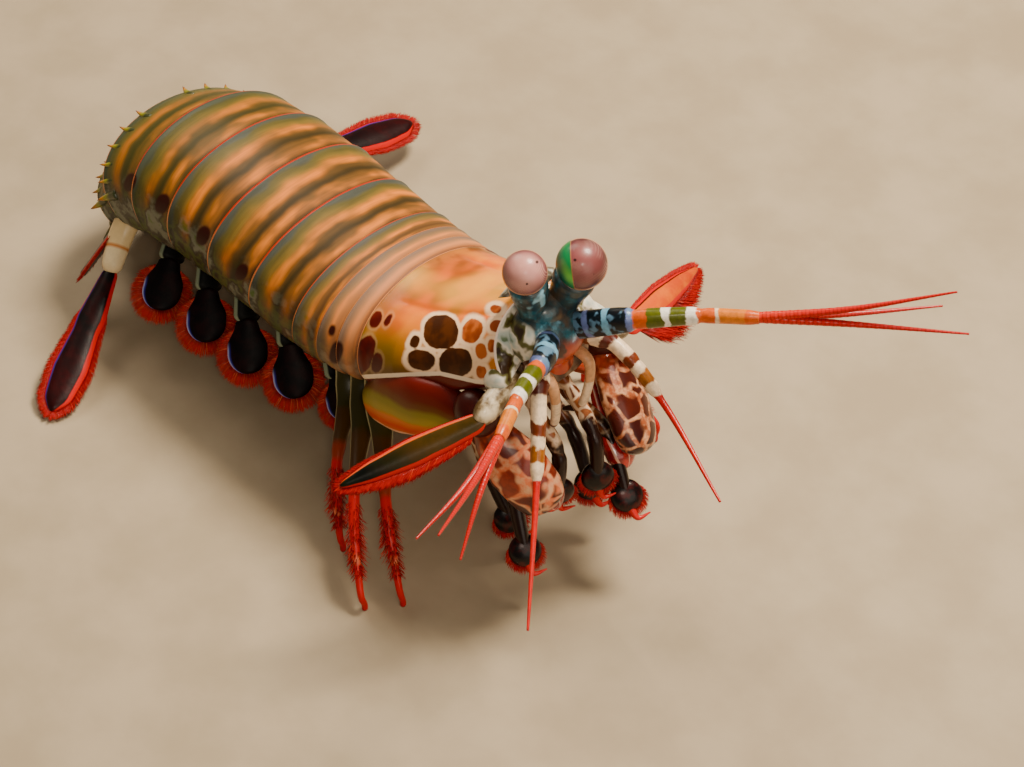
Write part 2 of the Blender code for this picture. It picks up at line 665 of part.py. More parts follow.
def maxillipeds(block, front, claws):
    """Four pairs of mouth limbs: the slender first pair and three pairs that end in discs."""
    made = []
    for side, sign in SIDES.items():
        mid = 3.4 if side == "left" else 1.0
        points = [(43.5, mid + 1.6 * sign, 38.0), (49.6, mid + 2.2 * sign, 37.4),
                  (49.4, mid + 1.4 * sign, 29.6), (46.4, mid + 0.8 * sign, 26.4)]
        sizes = ((0.0, 1.0), (0.5, 0.75), (0.85, 0.7), (1.0, 0.4))
        made.append(maxilliped(f"maxilliped_1_{side}", points, sizes, 0.0, (0, 1, 0), block,
                               [front, *made]))
    plans = {
        "maxilliped_3_left": [(40.5, 4.2, 34.0), (46.0, 5.0, 30.5), (52.4, 4.2, 26.0),
                              (54.4, 3.4, 19.4)],
        "maxilliped_3_right": [(40.5, 0.0, 34.0), (45.6, -1.0, 30.0), (51.0, -1.2, 25.0),
                               (51.6, -1.6, 17.6)],
        "maxilliped_4_left": [(37.0, 5.0, 31.6), (44.0, 7.2, 25.6), (51.0, 8.2, 22.2),
                              (57.2, 6.6, 15.2)],
        "maxilliped_4_right": [(37.0, -1.0, 31.6), (41.0, -3.6, 25.0), (46.4, -5.6, 16.8),
                               (51.6, -7.8, 9.4)],
        "maxilliped_5_left": [(33.0, 4.8, 28.6), (37.0, 7.6, 22.0), (43.6, 8.4, 16.6),
                              (48.6, 7.6, 9.6)],
        "maxilliped_5_right": [(33.0, -1.4, 28.6), (36.2, -4.0, 21.0), (40.4, -4.4, 13.6),
                               (44.2, -4.2, 7.4)],
    }
    sizes = ((0.0, 1.3), (0.3, 1.1), (0.6, 1.35), (0.9, 1.2), (1.0, 1.0))
    for name, points in plans.items():
        facing = (0.6, -0.35, 0.72)
        made.append(maxilliped(name, points, sizes, 2.4, facing, block, [*claws, *made]))
    return made


def walking_leg(number, side, *neighbours):
    """A slender leg whose foot stands on a small flat on the floor."""
    sign = SIDES[side]
    roots = {6: (19.8, 24.5), 7: (16.2, 23.2), 8: (12.6, 22.4)}
    feet = {
        "right": {6: (41.7, -22.6), 7: (38.6, -27.2), 8: (27.9, -22.6)},
        "left": {6: (42.6, 27.0), 7: (36.0, 30.6), 8: (26.0, 27.4)},
    }[side]
    x, z = roots[number]
    foot = np.array((*feet[number], 0.0))
    root = np.array((x, 0.8 + 8.2 * sign, z))
    hip = root + (2.6, 2.6 * sign, -6.6)
    knee = np.array((foot[0] * 0.62 + root[0] * 0.38, foot[1] * 0.72 + root[1] * 0.28, 11.5))
    ankle = np.array((foot[0] * 0.96 + root[0] * 0.04, foot[1], 4.2))
    path = smooth_path([root, hip, knee, ankle, foot + (0.0, 0.0, 1.0)], 13)
    path = np.vstack([path, foot])
    size = profile(14, (0.0, 1.7), (0.22, 1.5), (0.3, 1.0), (0.56, 0.95), (0.62, 0.7),
                   (0.8, 0.62), (1.0, 0.5))
    leg = sweep(f"walking_leg_{number - 5}_{side}", path, size, size, (0.0, 1.0, 0.0), "red", 7)
    ring = leg.data.vertices
    floor = -(leg.location.z)
    for vertex in ring:
        if vertex.co.z < floor + 0.6 * MM:
            vertex.co.z = floor
    return clear_of(leg, *neighbours)


def pleopod(number, side, ends, *neighbours):
    """A swimmeret: a stem that hangs from the belly and two fringed oval blades, swept forwards."""
    sign = SIDES[side]
    front, rear = ends[f"abdomen_{number}"]
    pitch, yaw, half_width, height, flank = SEGMENTS[f"abdomen_{number}"][1:]
    axes = basis(pitch, yaw)
    centre = (front + rear) / 2 - axes[2] * (flank - BELLY_RISE)
    root = centre + axes[1] * PLEOPOD_ROOT * sign + axes[2] * 1.6
    hip = centre + axes[1] * PLEOPOD_ROOT * sign - axes[2] * 1.2
    ahead, aside = PLEOPOD_SWEEP[number]
    blade_centre = np.array(((front[0] + rear[0]) / 2 + ahead, aside * sign, PLEOPOD_HEIGHT))
    reach = 0.85 if number == 1 else 1.0
    heading = unit(blade_centre - hip)
    facing = unit((0.5, 0.45 * sign, 0.74))
    knee = blade_centre - heading * 4.5 * reach
    path = smooth_path([root, hip, (hip + knee) / 2, knee], 6)
    stem = sweep(f"pleopod_{number}_{side}", path, profile(6, (0.0, 1.9), (1.0, 1.3)), 1.1,
                 (0.0, 1.0, 0.0), "black", 6)
    blades = []
    for length, width, shift, turn in ((9.0, 3.6, 0.9, 0.0), (7.0, 2.6, -1.5, -0.35)):
        course = unit(heading + np.array((-0.3, 0.2 * sign, -0.3)) * -turn)
        begin = knee - course * 0.9 + facing * shift
        t = np.linspace(0.0, 1.0, 7)
        path = begin + np.outer(t * length * reach, course)
        rim = width * reach * np.sqrt(np.clip(1.06 - (2 * t - 1) ** 2, 0.05, 1.0))
        blades.append(leaf("blade", path, rim, facing, "black", middle=1.3, edge=0.6,
                           fringe=1.7, lean=0.6, bare=0.1))
    return clear_of(join(stem, *blades), *neighbours)


def uropod(side, ends, segment, plate):
    """The tail limb: a pale base with the inner paddle, and the outer paddle on its own."""
    sign = SIDES[side]
    axes = basis(*SEGMENTS["abdomen_6"][1:3])
    middle = (ends["abdomen_6"][0] + ends["abdomen_6"][1]) / 2
    root = middle + axes[1] * 9.0 * sign - axes[2] * 0.6
    if side == "right":
        elbow, tip = np.array((-34.2, -19.4, 9.6)), np.array((-22.8, -39.6, 1.2))
    else:
        elbow, tip = np.array((-35.0, 19.6, 10.2)), np.array((-34.6, 43.2, 5.2))
    base = sweep(f"uropod_{side}", smooth_path([root, (root + elbow) / 2 + (-1.0, 0.0, -0.6),
                 elbow], 6), profile(6, (0.0, 2.6), (0.6, 2.4), (1.0, 1.7)),
                 profile(6, (0.0, 2.0), (1.0, 1.5)), (1.0, 0.0, 0.0), "cream")
    inner_tip = root + (-1.6, 12.0 * sign, -11.4)
    heading = unit(inner_tip - root)
    path = np.linspace(root + heading * 3.0, inner_tip, 8)
    t = np.linspace(0.0, 1.0, 8)
    inner = leaf("inner", path, 2.6 * np.sqrt(np.clip(1.05 - (2 * t - 1) ** 2, 0.1, 1.0)),
                 (-0.75, 0.2 * sign, 0.5), "black", middle=1.3, edge=0.7, fringe=1.3, bare=0.3)
    fork = spine(root + heading * 2.0 - axes[2] * 0.8,
                 root + heading * 9.0 - axes[2] * 2.0, 1.2, axes[0])
    join(base, inner, fork, solver="MANIFOLD")
    clear_of(base, segment, plate)
    heading = unit(tip - elbow)
    path = np.linspace(elbow - heading * 1.0, tip, 10)
    t = np.linspace(0.0, 1.0, 10)
    width = np.interp(t, (0.0, 0.12, 0.35, 0.7, 0.9, 1.0), (1.3, 1.7, 2.5, 3.2, 2.6, 0.9))
    outer = leaf(f"uropod_exopod_{side}", path, width, (0.25, 0.25 * sign, 0.93), "black",
                 middle=1.6, edge=0.7, fringe=1.5, bare=0.25)
    clear_of(outer, base)
    return base, outer


def stand_over_origin(objects):
    """Moves the whole animal so that the middle of its box is over the origin."""
    bpy.context.view_layer.update()
    corners = np.vstack([
        [obj.matrix_world @ vertex.co for vertex in obj.data.vertices] for obj in objects
    ])
    low, high = corners.min(axis=0), corners.max(axis=0)
    ROOT.location = (-(low[0] + high[0]) / 2, -(low[1] + high[1]) / 2, 0.0)


def shade(objects):
    for obj in objects:
        obj.data.shade_smooth()
        obj.data.set_sharp_from_angle(angle=math.radians(50.0))


clear_scene()
SHRIMP = bpy.data.collections.new("mantis_shrimp")
CUTTERS = bpy.data.collections.new("cutters")
CUTTERS.hide_render = True
bpy.context.scene.collection.children.link(SHRIMP)
bpy.context.scene.collection.children.link(CUTTERS)
ROOT = bpy.data.objects.new("mantis_shrimp", None)
SHRIMP.objects.link(ROOT)
MATERIALS = {name: make_material(name, colour) for name, colour in COLOURS.items()}

ENDS = chain()
trunk = {name: body_segment(name, ENDS) for name in SEGMENTS}
for name in ("abdomen_5", "abdomen_6"):
    tail_spines(trunk[name], ENDS, name)
tail_plate = telson(ENDS["abdomen_6"][1])
clear_of(lay_on_floor(tail_plate), trunk["abdomen_6"])

front_joint = ENDS["thorax_6"][0]
shield = carapace(front_joint)
underside = chest(front_joint)
clear_of(underside, trunk["thorax_6"])
face = head(shield, underside)
eyes = {side: eye(side) for side in SIDES}
for stalk, cornea in eyes.values():
    clear_of(stalk, face)
stalks = [pair[0] for pair in eyes.values()]
rostral_plate(shield, face, stalks)

claw_pieces, merus = [], {}
for side in SIDES:
    pieces = claw(side, underside, shield)
    merus[side] = pieces[0]
    claw_pieces += pieces
for side in SIDES:
    antennule(side, face)
    antennal_scale(side, face, shield, underside)
    antenna(side, face, shield)
maxillipeds(underside, face, claw_pieces)
for side in SIDES:
    for number in (6, 7, 8):
        neighbours = [trunk[f"thorax_{number}"]]
        if number == 6:
            neighbours.append(merus[side])
        rear_leg = walking_leg(number, side, *neighbours)
    for number in range(1, 6):
        neighbours = [trunk[f"abdomen_{number}"]]
        if number == 1:
            neighbours.append(rear_leg)
        pleopod(number, side, ENDS, *neighbours)
    uropod(side, ENDS, trunk["abdomen_6"], tail_plate)

nodes = [obj for obj in SHRIMP.objects if obj.type == "MESH"]
shade(nodes)
stand_over_origin(nodes)
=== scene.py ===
# %% [markdown]
# # A peacock mantis shrimp, life size
# The animal stands on its walking legs and its tail plate, with its front raised and its two
# stalked eyes turned to the viewer. Each shell plate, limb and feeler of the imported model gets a
# finer piece in its place. Every shape below is a grid of points worked out with numpy, and every
# finish is made of shader nodes.

import json
import math

import bpy
import numpy as np
from mathutils import Matrix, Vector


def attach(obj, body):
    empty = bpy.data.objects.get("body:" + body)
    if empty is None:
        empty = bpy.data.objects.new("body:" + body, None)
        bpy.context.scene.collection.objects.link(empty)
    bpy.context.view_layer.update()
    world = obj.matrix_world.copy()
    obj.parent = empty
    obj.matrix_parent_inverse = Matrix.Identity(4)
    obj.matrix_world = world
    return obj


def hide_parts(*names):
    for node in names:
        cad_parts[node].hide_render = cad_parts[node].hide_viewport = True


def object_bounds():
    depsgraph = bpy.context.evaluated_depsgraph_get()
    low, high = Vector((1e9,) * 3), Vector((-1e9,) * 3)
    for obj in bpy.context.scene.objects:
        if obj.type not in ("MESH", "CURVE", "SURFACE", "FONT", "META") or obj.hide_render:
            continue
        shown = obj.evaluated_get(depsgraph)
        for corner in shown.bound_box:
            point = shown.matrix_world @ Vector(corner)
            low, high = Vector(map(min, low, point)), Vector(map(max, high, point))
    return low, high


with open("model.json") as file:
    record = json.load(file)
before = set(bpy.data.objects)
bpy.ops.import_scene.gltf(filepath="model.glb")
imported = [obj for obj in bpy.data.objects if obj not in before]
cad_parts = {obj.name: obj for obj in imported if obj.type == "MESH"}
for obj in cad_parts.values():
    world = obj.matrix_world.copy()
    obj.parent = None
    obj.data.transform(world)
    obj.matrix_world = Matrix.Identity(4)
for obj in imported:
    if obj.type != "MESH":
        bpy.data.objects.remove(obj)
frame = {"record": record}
cad_box = [[float(value) for value in corner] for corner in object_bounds()]
print("packed model, millimetres:", np.round((np.array(cad_box[1]) - cad_box[0]) * 1000, 1))

# %% [markdown]
# ## Measures and the way to the model's own frame
# All sizes are in millimetres, as for a ruler laid on the animal: x runs forward, y to its left and
# z up from the floor. The place of one foot is known in both frames, so the step from one frame to
# the other is a single subtraction.

# %% Units and sides
MM = 0.001
SIDES = {"right": -1, "left": 1}
FRONT_FOOT = np.array((41.7, -22.6, 0.0))
foot_mount = next(m for m in frame["record"]["mounts"] if m["name"] == "front_foot_right")
SHIFT = np.array(foot_mount["pos_m"]) - FRONT_FOOT * MM
print("shift of the body's measures:", np.round(SHIFT / MM, 2))


def in_metres(points):
    """Body measures in millimetres to the model's frame in metres."""
    return np.asarray(points, float) * MM + SHIFT

# %% [markdown]
# ## The view
# The camera looks down at the animal from its right front. It is made first, because some markings
# are placed where the eye sees them: a point in the picture is found again on the curved shell.

# %% Camera
PICTURE = (1024, 767)
FOCAL_PIXELS = 2500.0
SENSOR_WIDTH = 36.0
VIEW_RISE = math.radians(46.5)  # of the camera over the level of its target
VIEW_SWING = math.radians(41.5)  # from straight ahead of the animal towards its right
VIEW_DISTANCE = 352.0
VIEW_TARGET = np.array((40.0, 0.0, 29.4))

view_back = np.array((math.cos(VIEW_RISE) * math.cos(VIEW_SWING),
                      -math.cos(VIEW_RISE) * math.sin(VIEW_SWING), math.sin(VIEW_RISE)))
view_right = np.array((math.sin(VIEW_SWING), math.cos(VIEW_SWING), 0.0))
view_up = np.cross(view_back, view_right)
view_place = VIEW_TARGET + view_back * VIEW_DISTANCE

camera = bpy.data.objects.new("camera", bpy.data.cameras.new("camera"))
camera.data.sensor_width = SENSOR_WIDTH
camera.data.lens = SENSOR_WIDTH * FOCAL_PIXELS / PICTURE[0]
camera.data.clip_start = 0.01


def set_up(obj, right, up, back, place):
    """Puts a camera or lamp at a place in body measures. It looks the other way from back."""
    pose = np.eye(4)
    pose[:3, :3] = np.stack([right, up, back], axis=1)
    pose[:3, 3] = in_metres(place)
    obj.matrix_world = Matrix(pose.tolist())
    bpy.context.scene.collection.objects.link(obj)


set_up(camera, view_right, view_up, view_back, view_place)
bpy.context.scene.camera = camera


def in_picture(points):
    """Where points in body measures fall in the picture: (across, down) in pixels."""
    ray = np.asarray(points, float) - view_place
    depth = -(ray @ view_back)
    across = PICTURE[0] / 2 + FOCAL_PIXELS * (ray @ view_right) / depth
    down = PICTURE[1] / 2 - FOCAL_PIXELS * (ray @ view_up) / depth
    return np.stack([across, down], axis=-1)


print("camera lens:", round(camera.data.lens, 1), "mm")

# %% [markdown]
# ## Tools for shapes
# A shape is a grid of points: rows along the piece and columns around it. One function turns such a
# grid into a mesh. It also stores named numbers at the points, such as how far along the piece a
# point is, so that the colours can follow the form.

# %% Paths and profiles
def unit(vectors):
    vectors = np.asarray(vectors, float)
    return vectors / np.linalg.norm(vectors, axis=-1, keepdims=True)


def lengths(line):
    """How far along a line each of its points is."""
    return np.r_[0.0, np.cumsum(np.linalg.norm(np.diff(line, axis=0), axis=1))]


def shares(count):
    """Evenly spaced shares of the way, from 0 to 1."""
    return np.linspace(0.0, 1.0, count)


def angles(columns):
    """Evenly spaced angles once round, in radians."""
    return np.linspace(0.0, 2 * math.pi, columns, endpoint=False)


def fuller(value, power):
    """A sine or cosine to a power, with its sign. Under 1 it makes an oval fuller at its corners."""
    return np.sign(value) * np.abs(value) ** power


def basis(pitch, yaw):
    """Forward, left and up of body sections, from arrays of pitch and yaw in degrees."""
    p, w = np.radians(pitch), np.radians(yaw)
    forward = np.stack([np.cos(p) * np.cos(w), np.cos(p) * np.sin(w), np.sin(p)], axis=-1)
    left = np.stack([-np.sin(w), np.cos(w), np.zeros_like(w + p)], axis=-1)
    return np.stack([forward, left, np.cross(forward, left)], axis=-2)


def smooth_path(points, count):
    """A curve through the points (Catmull-Rom), read at evenly spaced lengths."""
    points = np.asarray(points, float)
    if len(points) == 2:
        return np.linspace(points[0], points[1], count)
    ends = np.vstack([2 * points[0] - points[1], points, 2 * points[-1] - points[-2]])
    t = np.linspace(0.0, 1.0, 24, endpoint=False)[:, None]
    a, b, c, d = (ends[k : len(ends) - 3 + k, None] for k in range(4))
    fine = 0.5 * (2 * b + (c - a) * t + (2 * a - 5 * b + 4 * c - d) * t**2
                  + (3 * b - a - 3 * c + d) * t**3)
    fine = np.vstack([fine.reshape(-1, 3), points[-1:]])
    length = lengths(fine)
    wanted = np.linspace(0.0, length[-1], count)
    return np.stack([np.interp(wanted, length, fine[:, k]) for k in range(3)], axis=1)


def soften(values, width):
    """A moving average with a bell-shaped weight, over width rows."""
    reach = int(3 * width)
    if reach < 1:
        return values
    weight = np.exp(-0.5 * (np.arange(-reach, reach + 1) / width) ** 2)
    padded = np.pad(values, (reach, reach), mode="edge")
    return np.convolve(padded, weight / weight.sum(), mode="valid")


def profile(count, *stations, soft=0.03):
    """Sizes along a piece, from (position 0 to 1, size) stations, with soft corners."""
    where, size = zip(*stations)
    return soften(np.interp(shares(count), where, size), soft * count)


def dome(count, start=0.0, end=0.0):
    """A factor that rounds off one or both ends of a limb, each over a share of its length."""
    t = shares(count)
    factor = np.ones(count)
    if start:
        factor *= np.sqrt(np.clip(1 - np.clip(1 - t / start, 0, 1) ** 2, 0.0, 1.0))
    if end:
        factor *= np.sqrt(np.clip(1 - np.clip(1 - (1 - t) / end, 0, 1) ** 2, 0.0, 1.0))
    return np.maximum(factor, 0.03)


def rails(path, across):
    """Tangent, width direction and height direction at each point of a path."""
    tangent = unit(np.gradient(path, axis=0))
    wide = unit(across) - (tangent @ unit(across))[:, None] * tangent
    wide = unit(wide)
    return tangent, wide, np.cross(tangent, wide)


def tube(path, half_width, half_height, across, columns=32, camber=0.0, edge=1.0):
    """A limb or blade: at each path point an oval, width * cos and height * sin of the angle.

    camber bends the oval down at its sides, and edge under 1 gives it a sharper rim.
    """
    _, wide, high = rails(path, across)
    angle = angles(columns)
    half_width = np.broadcast_to(half_width, len(path))[:, None]
    half_height = np.broadcast_to(half_height, len(path))[:, None]
    sideways = half_width * np.cos(angle)
    upright = half_height * fuller(np.sin(angle), 1 / edge)
    upright = upright - camber * half_width * np.cos(angle) ** 2
    return path[:, None] + sideways[..., None] * wide[:, None] + upright[..., None] * high[:, None]

# %% From grids to meshes
def grid_faces(rows, columns, start=0):
    """Quads of a grid whose columns wrap round, with a fan at each end."""
    index = start + np.arange(rows * columns).reshape(rows, columns)
    beside = np.roll(index, -1, axis=1)
    quads = np.stack([index[:-1], beside[:-1], beside[1:], index[1:]], axis=-1).reshape(-1, 4)
    first, last = start + rows * columns, start + rows * columns + 1
    near = np.stack([np.full(columns, first), beside[0], index[0]], axis=-1)
    far = np.stack([np.full(columns, last), index[-1], beside[-1]], axis=-1)
    return quads, np.vstack([near, far])


def outward(points, quads, triangles):
    """Turns the faces round where the closed surface would be inside out."""
    corners = points[np.vstack([triangles, quads[:, :3], quads[:, [0, 2, 3]]])]
    volume = np.einsum("ij,ij->i", corners[:, 0], np.cross(corners[:, 1], corners[:, 2])).sum()
    return (quads, triangles) if volume > 0 else (quads[:, ::-1], triangles[:, ::-1])


def store(mesh, **fields):
    """Keeps named numbers at the mesh's points."""
    for key, values in fields.items():
        attribute = mesh.attributes.new(key, "FLOAT", "POINT")
        attribute.data.foreach_set("value", values.astype(np.float32))


def piece(name, grids, material, replaces=(), fields=None):
    """One object from one or more closed grids, with named numbers stored at its points.

    fields maps a name to a list with one array for each grid.
    """
    points, quads, triangles, start = [], [], [], 0
    stored = {key: [] for key in (fields or {})}
    for number, grid in enumerate(grids):
        rows, columns = grid.shape[:2]
        poles = np.stack([grid[0].mean(axis=0), grid[-1].mean(axis=0)])
        own = np.vstack([grid.reshape(-1, 3), poles])
        q, t = outward(own, *grid_faces(rows, columns))
        points.append(own)
        quads.append(q + start)
        triangles.append(t + start)
        start += len(own)
        for key in stored:
            values = np.broadcast_to(fields[key][number], (rows, columns)).astype(float)
            stored[key] += [values.ravel(), [values[0].mean(), values[-1].mean()]]
    points = in_metres(np.vstack(points))
    mesh = bpy.data.meshes.new(name)
    faces = np.vstack(quads).tolist() + np.vstack(triangles).tolist()
    mesh.from_pydata(points, [], faces)
    store(mesh, **{key: np.concatenate(values) for key, values in stored.items()})
    return finish_piece(name, mesh, material, replaces)


def finish_piece(name, mesh, material, replaces):
    """Shading, finish and the CAD nodes that the piece stands for."""
    mesh.shade_smooth()
    mesh.materials.append(material)
    obj = bpy.data.objects.new(name, mesh)
    bpy.context.scene.collection.objects.link(obj)
    if replaces:
        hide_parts(*replaces)
    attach(obj, "root")
    PIECES.append(obj)
    return obj


def along(grid):
    """How far each row is along its piece, 0 to 1, as a column that fits the grid."""
    length = lengths(grid.mean(axis=1))
    return (length / length[-1])[:, None]


PIECES = []

# %% [markdown]
# ## Bristles
# The fringes of the swimmerets and paddles are rows of fine bristles. Each bristle is a thin cone
# with three sides that bends a little. Thousands of them are worked out at once as arrays and
# joined in one mesh. A second set of picture coordinates keeps each bristle on its own small patch,
# so that a baked texture doesn't mix their colours.

# %% Bristles as one mesh
PATCH = 0.003  # side of a bristle's patch in the map
STEPS = np.array((0.0, 0.45, 0.8))  # rings along a bristle, before its tip
BRISTLE_POINTS = 3 * len(STEPS) + 1
BRISTLE_TAPER = 0.62  # how much thinner a bristle gets on its way
ODD_WAY = (0.31, 0.17, 0.93)  # any way that no bristle follows


def bristle_piece(name, roots, ways, sizes, radius, bend, places, material):
    """A coat piece. roots, ways and bend are arrays of vectors, places the spots in the map.

    A bristle's middle line is root + way * size * s + bend * size * s * s, s from 0 to 1. Its
    rings have three points each, in turn round the line, so that every face points outwards.
    """
    count = len(roots)
    ways, sizes = unit(ways), np.broadcast_to(sizes, count)[:, None, None]
    radius = np.broadcast_to(radius, count)[:, None, None, None]
    s = np.r_[STEPS, 1.0][None, :, None]
    line = roots[:, None] + (ways[:, None] * s + bend[:, None] * s**2) * sizes
    side = unit(np.cross(ways, ODD_WAY))
    other = np.cross(ways, side)
    turn = np.radians((90.0, 210.0, 330.0))[:, None, None]
    spread = (np.cos(turn) * side + np.sin(turn) * other).transpose(1, 0, 2)
    taper = (1.0 - BRISTLE_TAPER * STEPS)[None, :, None, None]
    rings = line[:, :3, None] + spread[:, None] * radius * taper
    points = np.concatenate([rings.reshape(count, 9, 3), line[:, 3:4]], axis=1)
    j, k = np.arange(3), (np.arange(3) + 1) % 3
    rows = np.array((0, 3))[:, None]
    walls = np.stack(np.broadcast_arrays(rows + j, rows + k, rows + 3 + k, rows + 3 + j), axis=-1)
    ends = np.vstack([[(2, 1, 0)], np.stack([6 + j, 6 + k, np.full(3, 9)], axis=-1)])
    base = np.arange(count)[:, None, None] * BRISTLE_POINTS
    quads = (walls.reshape(1, 6, 4) + base).reshape(-1, 4)
    triangles = (ends[None] + base).reshape(-1, 3)
    mesh = bpy.data.meshes.new(name)
    mesh.from_pydata(in_metres(points.reshape(-1, 3)), [], quads.tolist() + triangles.tolist())
    reach = np.r_[np.repeat(STEPS, 3), 1.0]
    tint = np.random.default_rng(count).random(count)
    store(mesh, reach=np.tile(reach, count), tint=np.repeat(tint, BRISTLE_POINTS))
    offsets = np.stack([np.r_[np.tile((0.0, 0.5, 1.0), 3), 0.5], reach], axis=1) * PATCH
    spots = (places[:, None] + offsets[None]).reshape(-1, 2)
    corner = np.empty(len(mesh.loops), np.int32)
    mesh.loops.foreach_get("vertex_index", corner)
    uv = mesh.uv_layers.new(name="OFBake")
    uv.data.foreach_set("uv", spots[corner].astype(np.float32).ravel())
    return finish_piece(name, mesh, material, ())

# %% [markdown]
# ## Tools for finishes
# Shell is coloured in soft bands and patches under a thin glossy layer. The helper below adds shader
# nodes by short calls. Effects that several finishes share are node groups with named sockets.

# %% Shader helper
def paint(red, green, blue):
    """A colour as a paint chart gives it, 0 to 255, to the linear values that shaders use."""
    value = np.array((red, green, blue)) / 255.0
    linear = np.where(value <= 0.04045, value / 12.92, ((value + 0.055) / 1.055) ** 2.4)
    return (*map(float, linear), 1.0)


class Value:
    """A number or colour that changes over the surface. Sums with it add Math nodes."""

    def __init__(self, tree, socket):
        self.tree, self.socket = tree, socket

    def __add__(self, other):
        return self.tree.maths("ADD", self, other)

    def __sub__(self, other):
        return self.tree.maths("SUBTRACT", self, other)

    def __mul__(self, other):
        return self.tree.maths("MULTIPLY", self, other)

    def __abs__(self):
        return self.tree.maths("ABSOLUTE", self)


class Tree:
    """Adds nodes to one shader tree. Inputs may be numbers, colours or Values."""

    def __init__(self, tree):
        self.tree = tree

    def join(self, value, socket):
        if isinstance(value, Value):
            self.tree.links.new(value.socket, socket)
        else:
            socket.default_value = value

    def add(self, kind, *values, **settings):
        """A node. values go to its first sockets, names in capitals are sockets, others settings."""
        node = self.tree.nodes.new("ShaderNode" + kind)
        for key, value in settings.items():
            if key.islower():
                setattr(node, key, value)
            else:
                self.join(value, node.inputs[key])
        for value, socket in zip(values, node.inputs):
            self.join(value, socket)
        return node

    def made(self, kind, *values, output=0, **settings):
        return Value(self, self.add(kind, *values, **settings).outputs[output])

    def maths(self, operation, *values):
        return self.made("Math", *values, operation=operation)

    def span(self, value, low, high, first=0.0, last=1.0):
        """Maps a value from low..high to first..last with a soft start and end."""
        return self.made("MapRange", value, low, high, first, last, interpolation_type="SMOOTHSTEP")

    def mix(self, share, first, second):
        node = self.add("Mix", share, data_type="RGBA")
        self.join(first, node.inputs[6])
        self.join(second, node.inputs[7])
        return Value(self, node.outputs[2])

    def coats(self, colour, *coats):
        """Lays colours over each other in turn. A coat is its share and its colour."""
        for share, over in coats:
            colour = self.mix(share, colour, over)
        return colour

    def __getitem__(self, name):
        """A number that is stored at the mesh's points."""
        return self.made("Attribute", output="Fac", attribute_type="GEOMETRY", attribute_name=name)

    def place(self):
        return self.made("TexCoord", output="Object")

    def ramp(self, value, *stops, interpolation="EASE"):
        """Colours along a value. A stop is its position and its colour."""
        node = self.add("ValToRGB", value)
        elements = node.color_ramp.elements
        node.color_ramp.interpolation = interpolation
        while len(elements) < len(stops):
            elements.new(0.5)
        for element, (position, colour) in zip(elements, stops):
            element.position, element.color = position, colour
        return Value(self, node.outputs[0])

    def noise(self, scale, detail=3.0, vector=None, roughness=0.55):
        return self.made("TexNoise", output="Fac", Vector=vector or self.place(), Scale=scale,
                         Detail=detail, Roughness=roughness)

    def clouds(self, scale, detail, low, high):
        """Noise as a share: 0 below low and 1 over high."""
        return self.span(self.noise(scale, detail), low, high)

    def around(self, scale, detail, reach):
        """Noise that swings round 0, by reach to each side."""
        return self.noise(scale, detail) * (2 * reach) - reach

    def group(self, tree, **values):
        """A node group's outputs by name."""
        node = self.add("Group", node_tree=tree, **values)
        return {socket.name: Value(self, socket) for socket in node.outputs}

# %% Shared effect: the relief of shell
def new_group(name, inputs, outputs):
    """A shader node group with float inputs (name, value) and outputs (name, kind)."""
    tree = bpy.data.node_groups.new(name, "ShaderNodeTree")
    for label, value in inputs:
        socket = tree.interface.new_socket(label, in_out="INPUT", socket_type="NodeSocketFloat")
        socket.default_value = value
    for label, kind in outputs:
        tree.interface.new_socket(label, in_out="OUTPUT", socket_type="NodeSocket" + kind)
    group = Tree(tree)
    given = {socket.name: Value(group, socket) for socket in tree.nodes.new("NodeGroupInput").outputs}
    return group, given, tree.nodes.new("NodeGroupOutput").inputs


relief, given, results = new_group("Shell relief", [("Depth", 0.15), ("Roughness", 0.3)],
                                   [("Normal", "Vector"), ("Roughness", "Float")])
height = relief.noise(2600.0, 2.0) * 0.25 + relief.noise(260.0, 2.0)
relief.join(relief.made("Bump", Strength=given["Depth"], Distance=0.0004, Height=height),
            results["Normal"])
relief.join(relief.around(700.0, 3.0, 0.08) + given["Roughness"], results["Roughness"])


class Finish(Tree):
    """A new material: the tree round its Principled shader, with the constant sockets set."""

    def __init__(self, name, roughness=0.3, coat=0.5, coat_roughness=0.12, specular=0.5):
        self.material = bpy.data.materials.new(name)
        self.material.use_nodes = True
        super().__init__(self.material.node_tree)
        self.sockets = self.tree.nodes["Principled BSDF"].inputs
        for key, value in (("Roughness", roughness), ("Coat Weight", coat),
                           ("Coat Roughness", coat_roughness), ("Specular IOR Level", specular)):
            self.sockets[key].default_value = value

    def plain(self, colour):
        """Joins a colour to the shader."""
        self.join(colour, self.sockets["Base Color"])
        return self.material

    def shell(self, colour, depth, roughness):
        """Joins a colour and the shell relief to the shader."""
        for key, value in self.group(relief.tree, Depth=depth, Roughness=roughness).items():
            self.join(value, self.sockets[key])
        return self.plain(colour)

# %% Shared effect: patches in a pale net
net, given, results = new_group("Net of patches", [("Scale", 400.0), ("Gap", 0.12)],
                                [("Patch", "Float"), ("Shade", "Float")])
bend = net.made("TexNoise", output="Color", Vector=net.place(), Scale=300.0, Detail=1.0)
wander = net.made("VectorMath", bend, (0.003, 0.003, 0.003), net.place(), operation="MULTIPLY_ADD")
cells = {"Vector": wander, "Scale": given["Scale"]}
edge = net.made("TexVoronoi", output="Distance", feature="DISTANCE_TO_EDGE", **cells)
net.join(net.span(edge - given["Gap"], 0.0, 0.12), results["Patch"])
tint = net.made("TexVoronoi", output="Color", feature="F1", **cells)
net.join(net.made("SeparateColor", tint), results["Shade"])

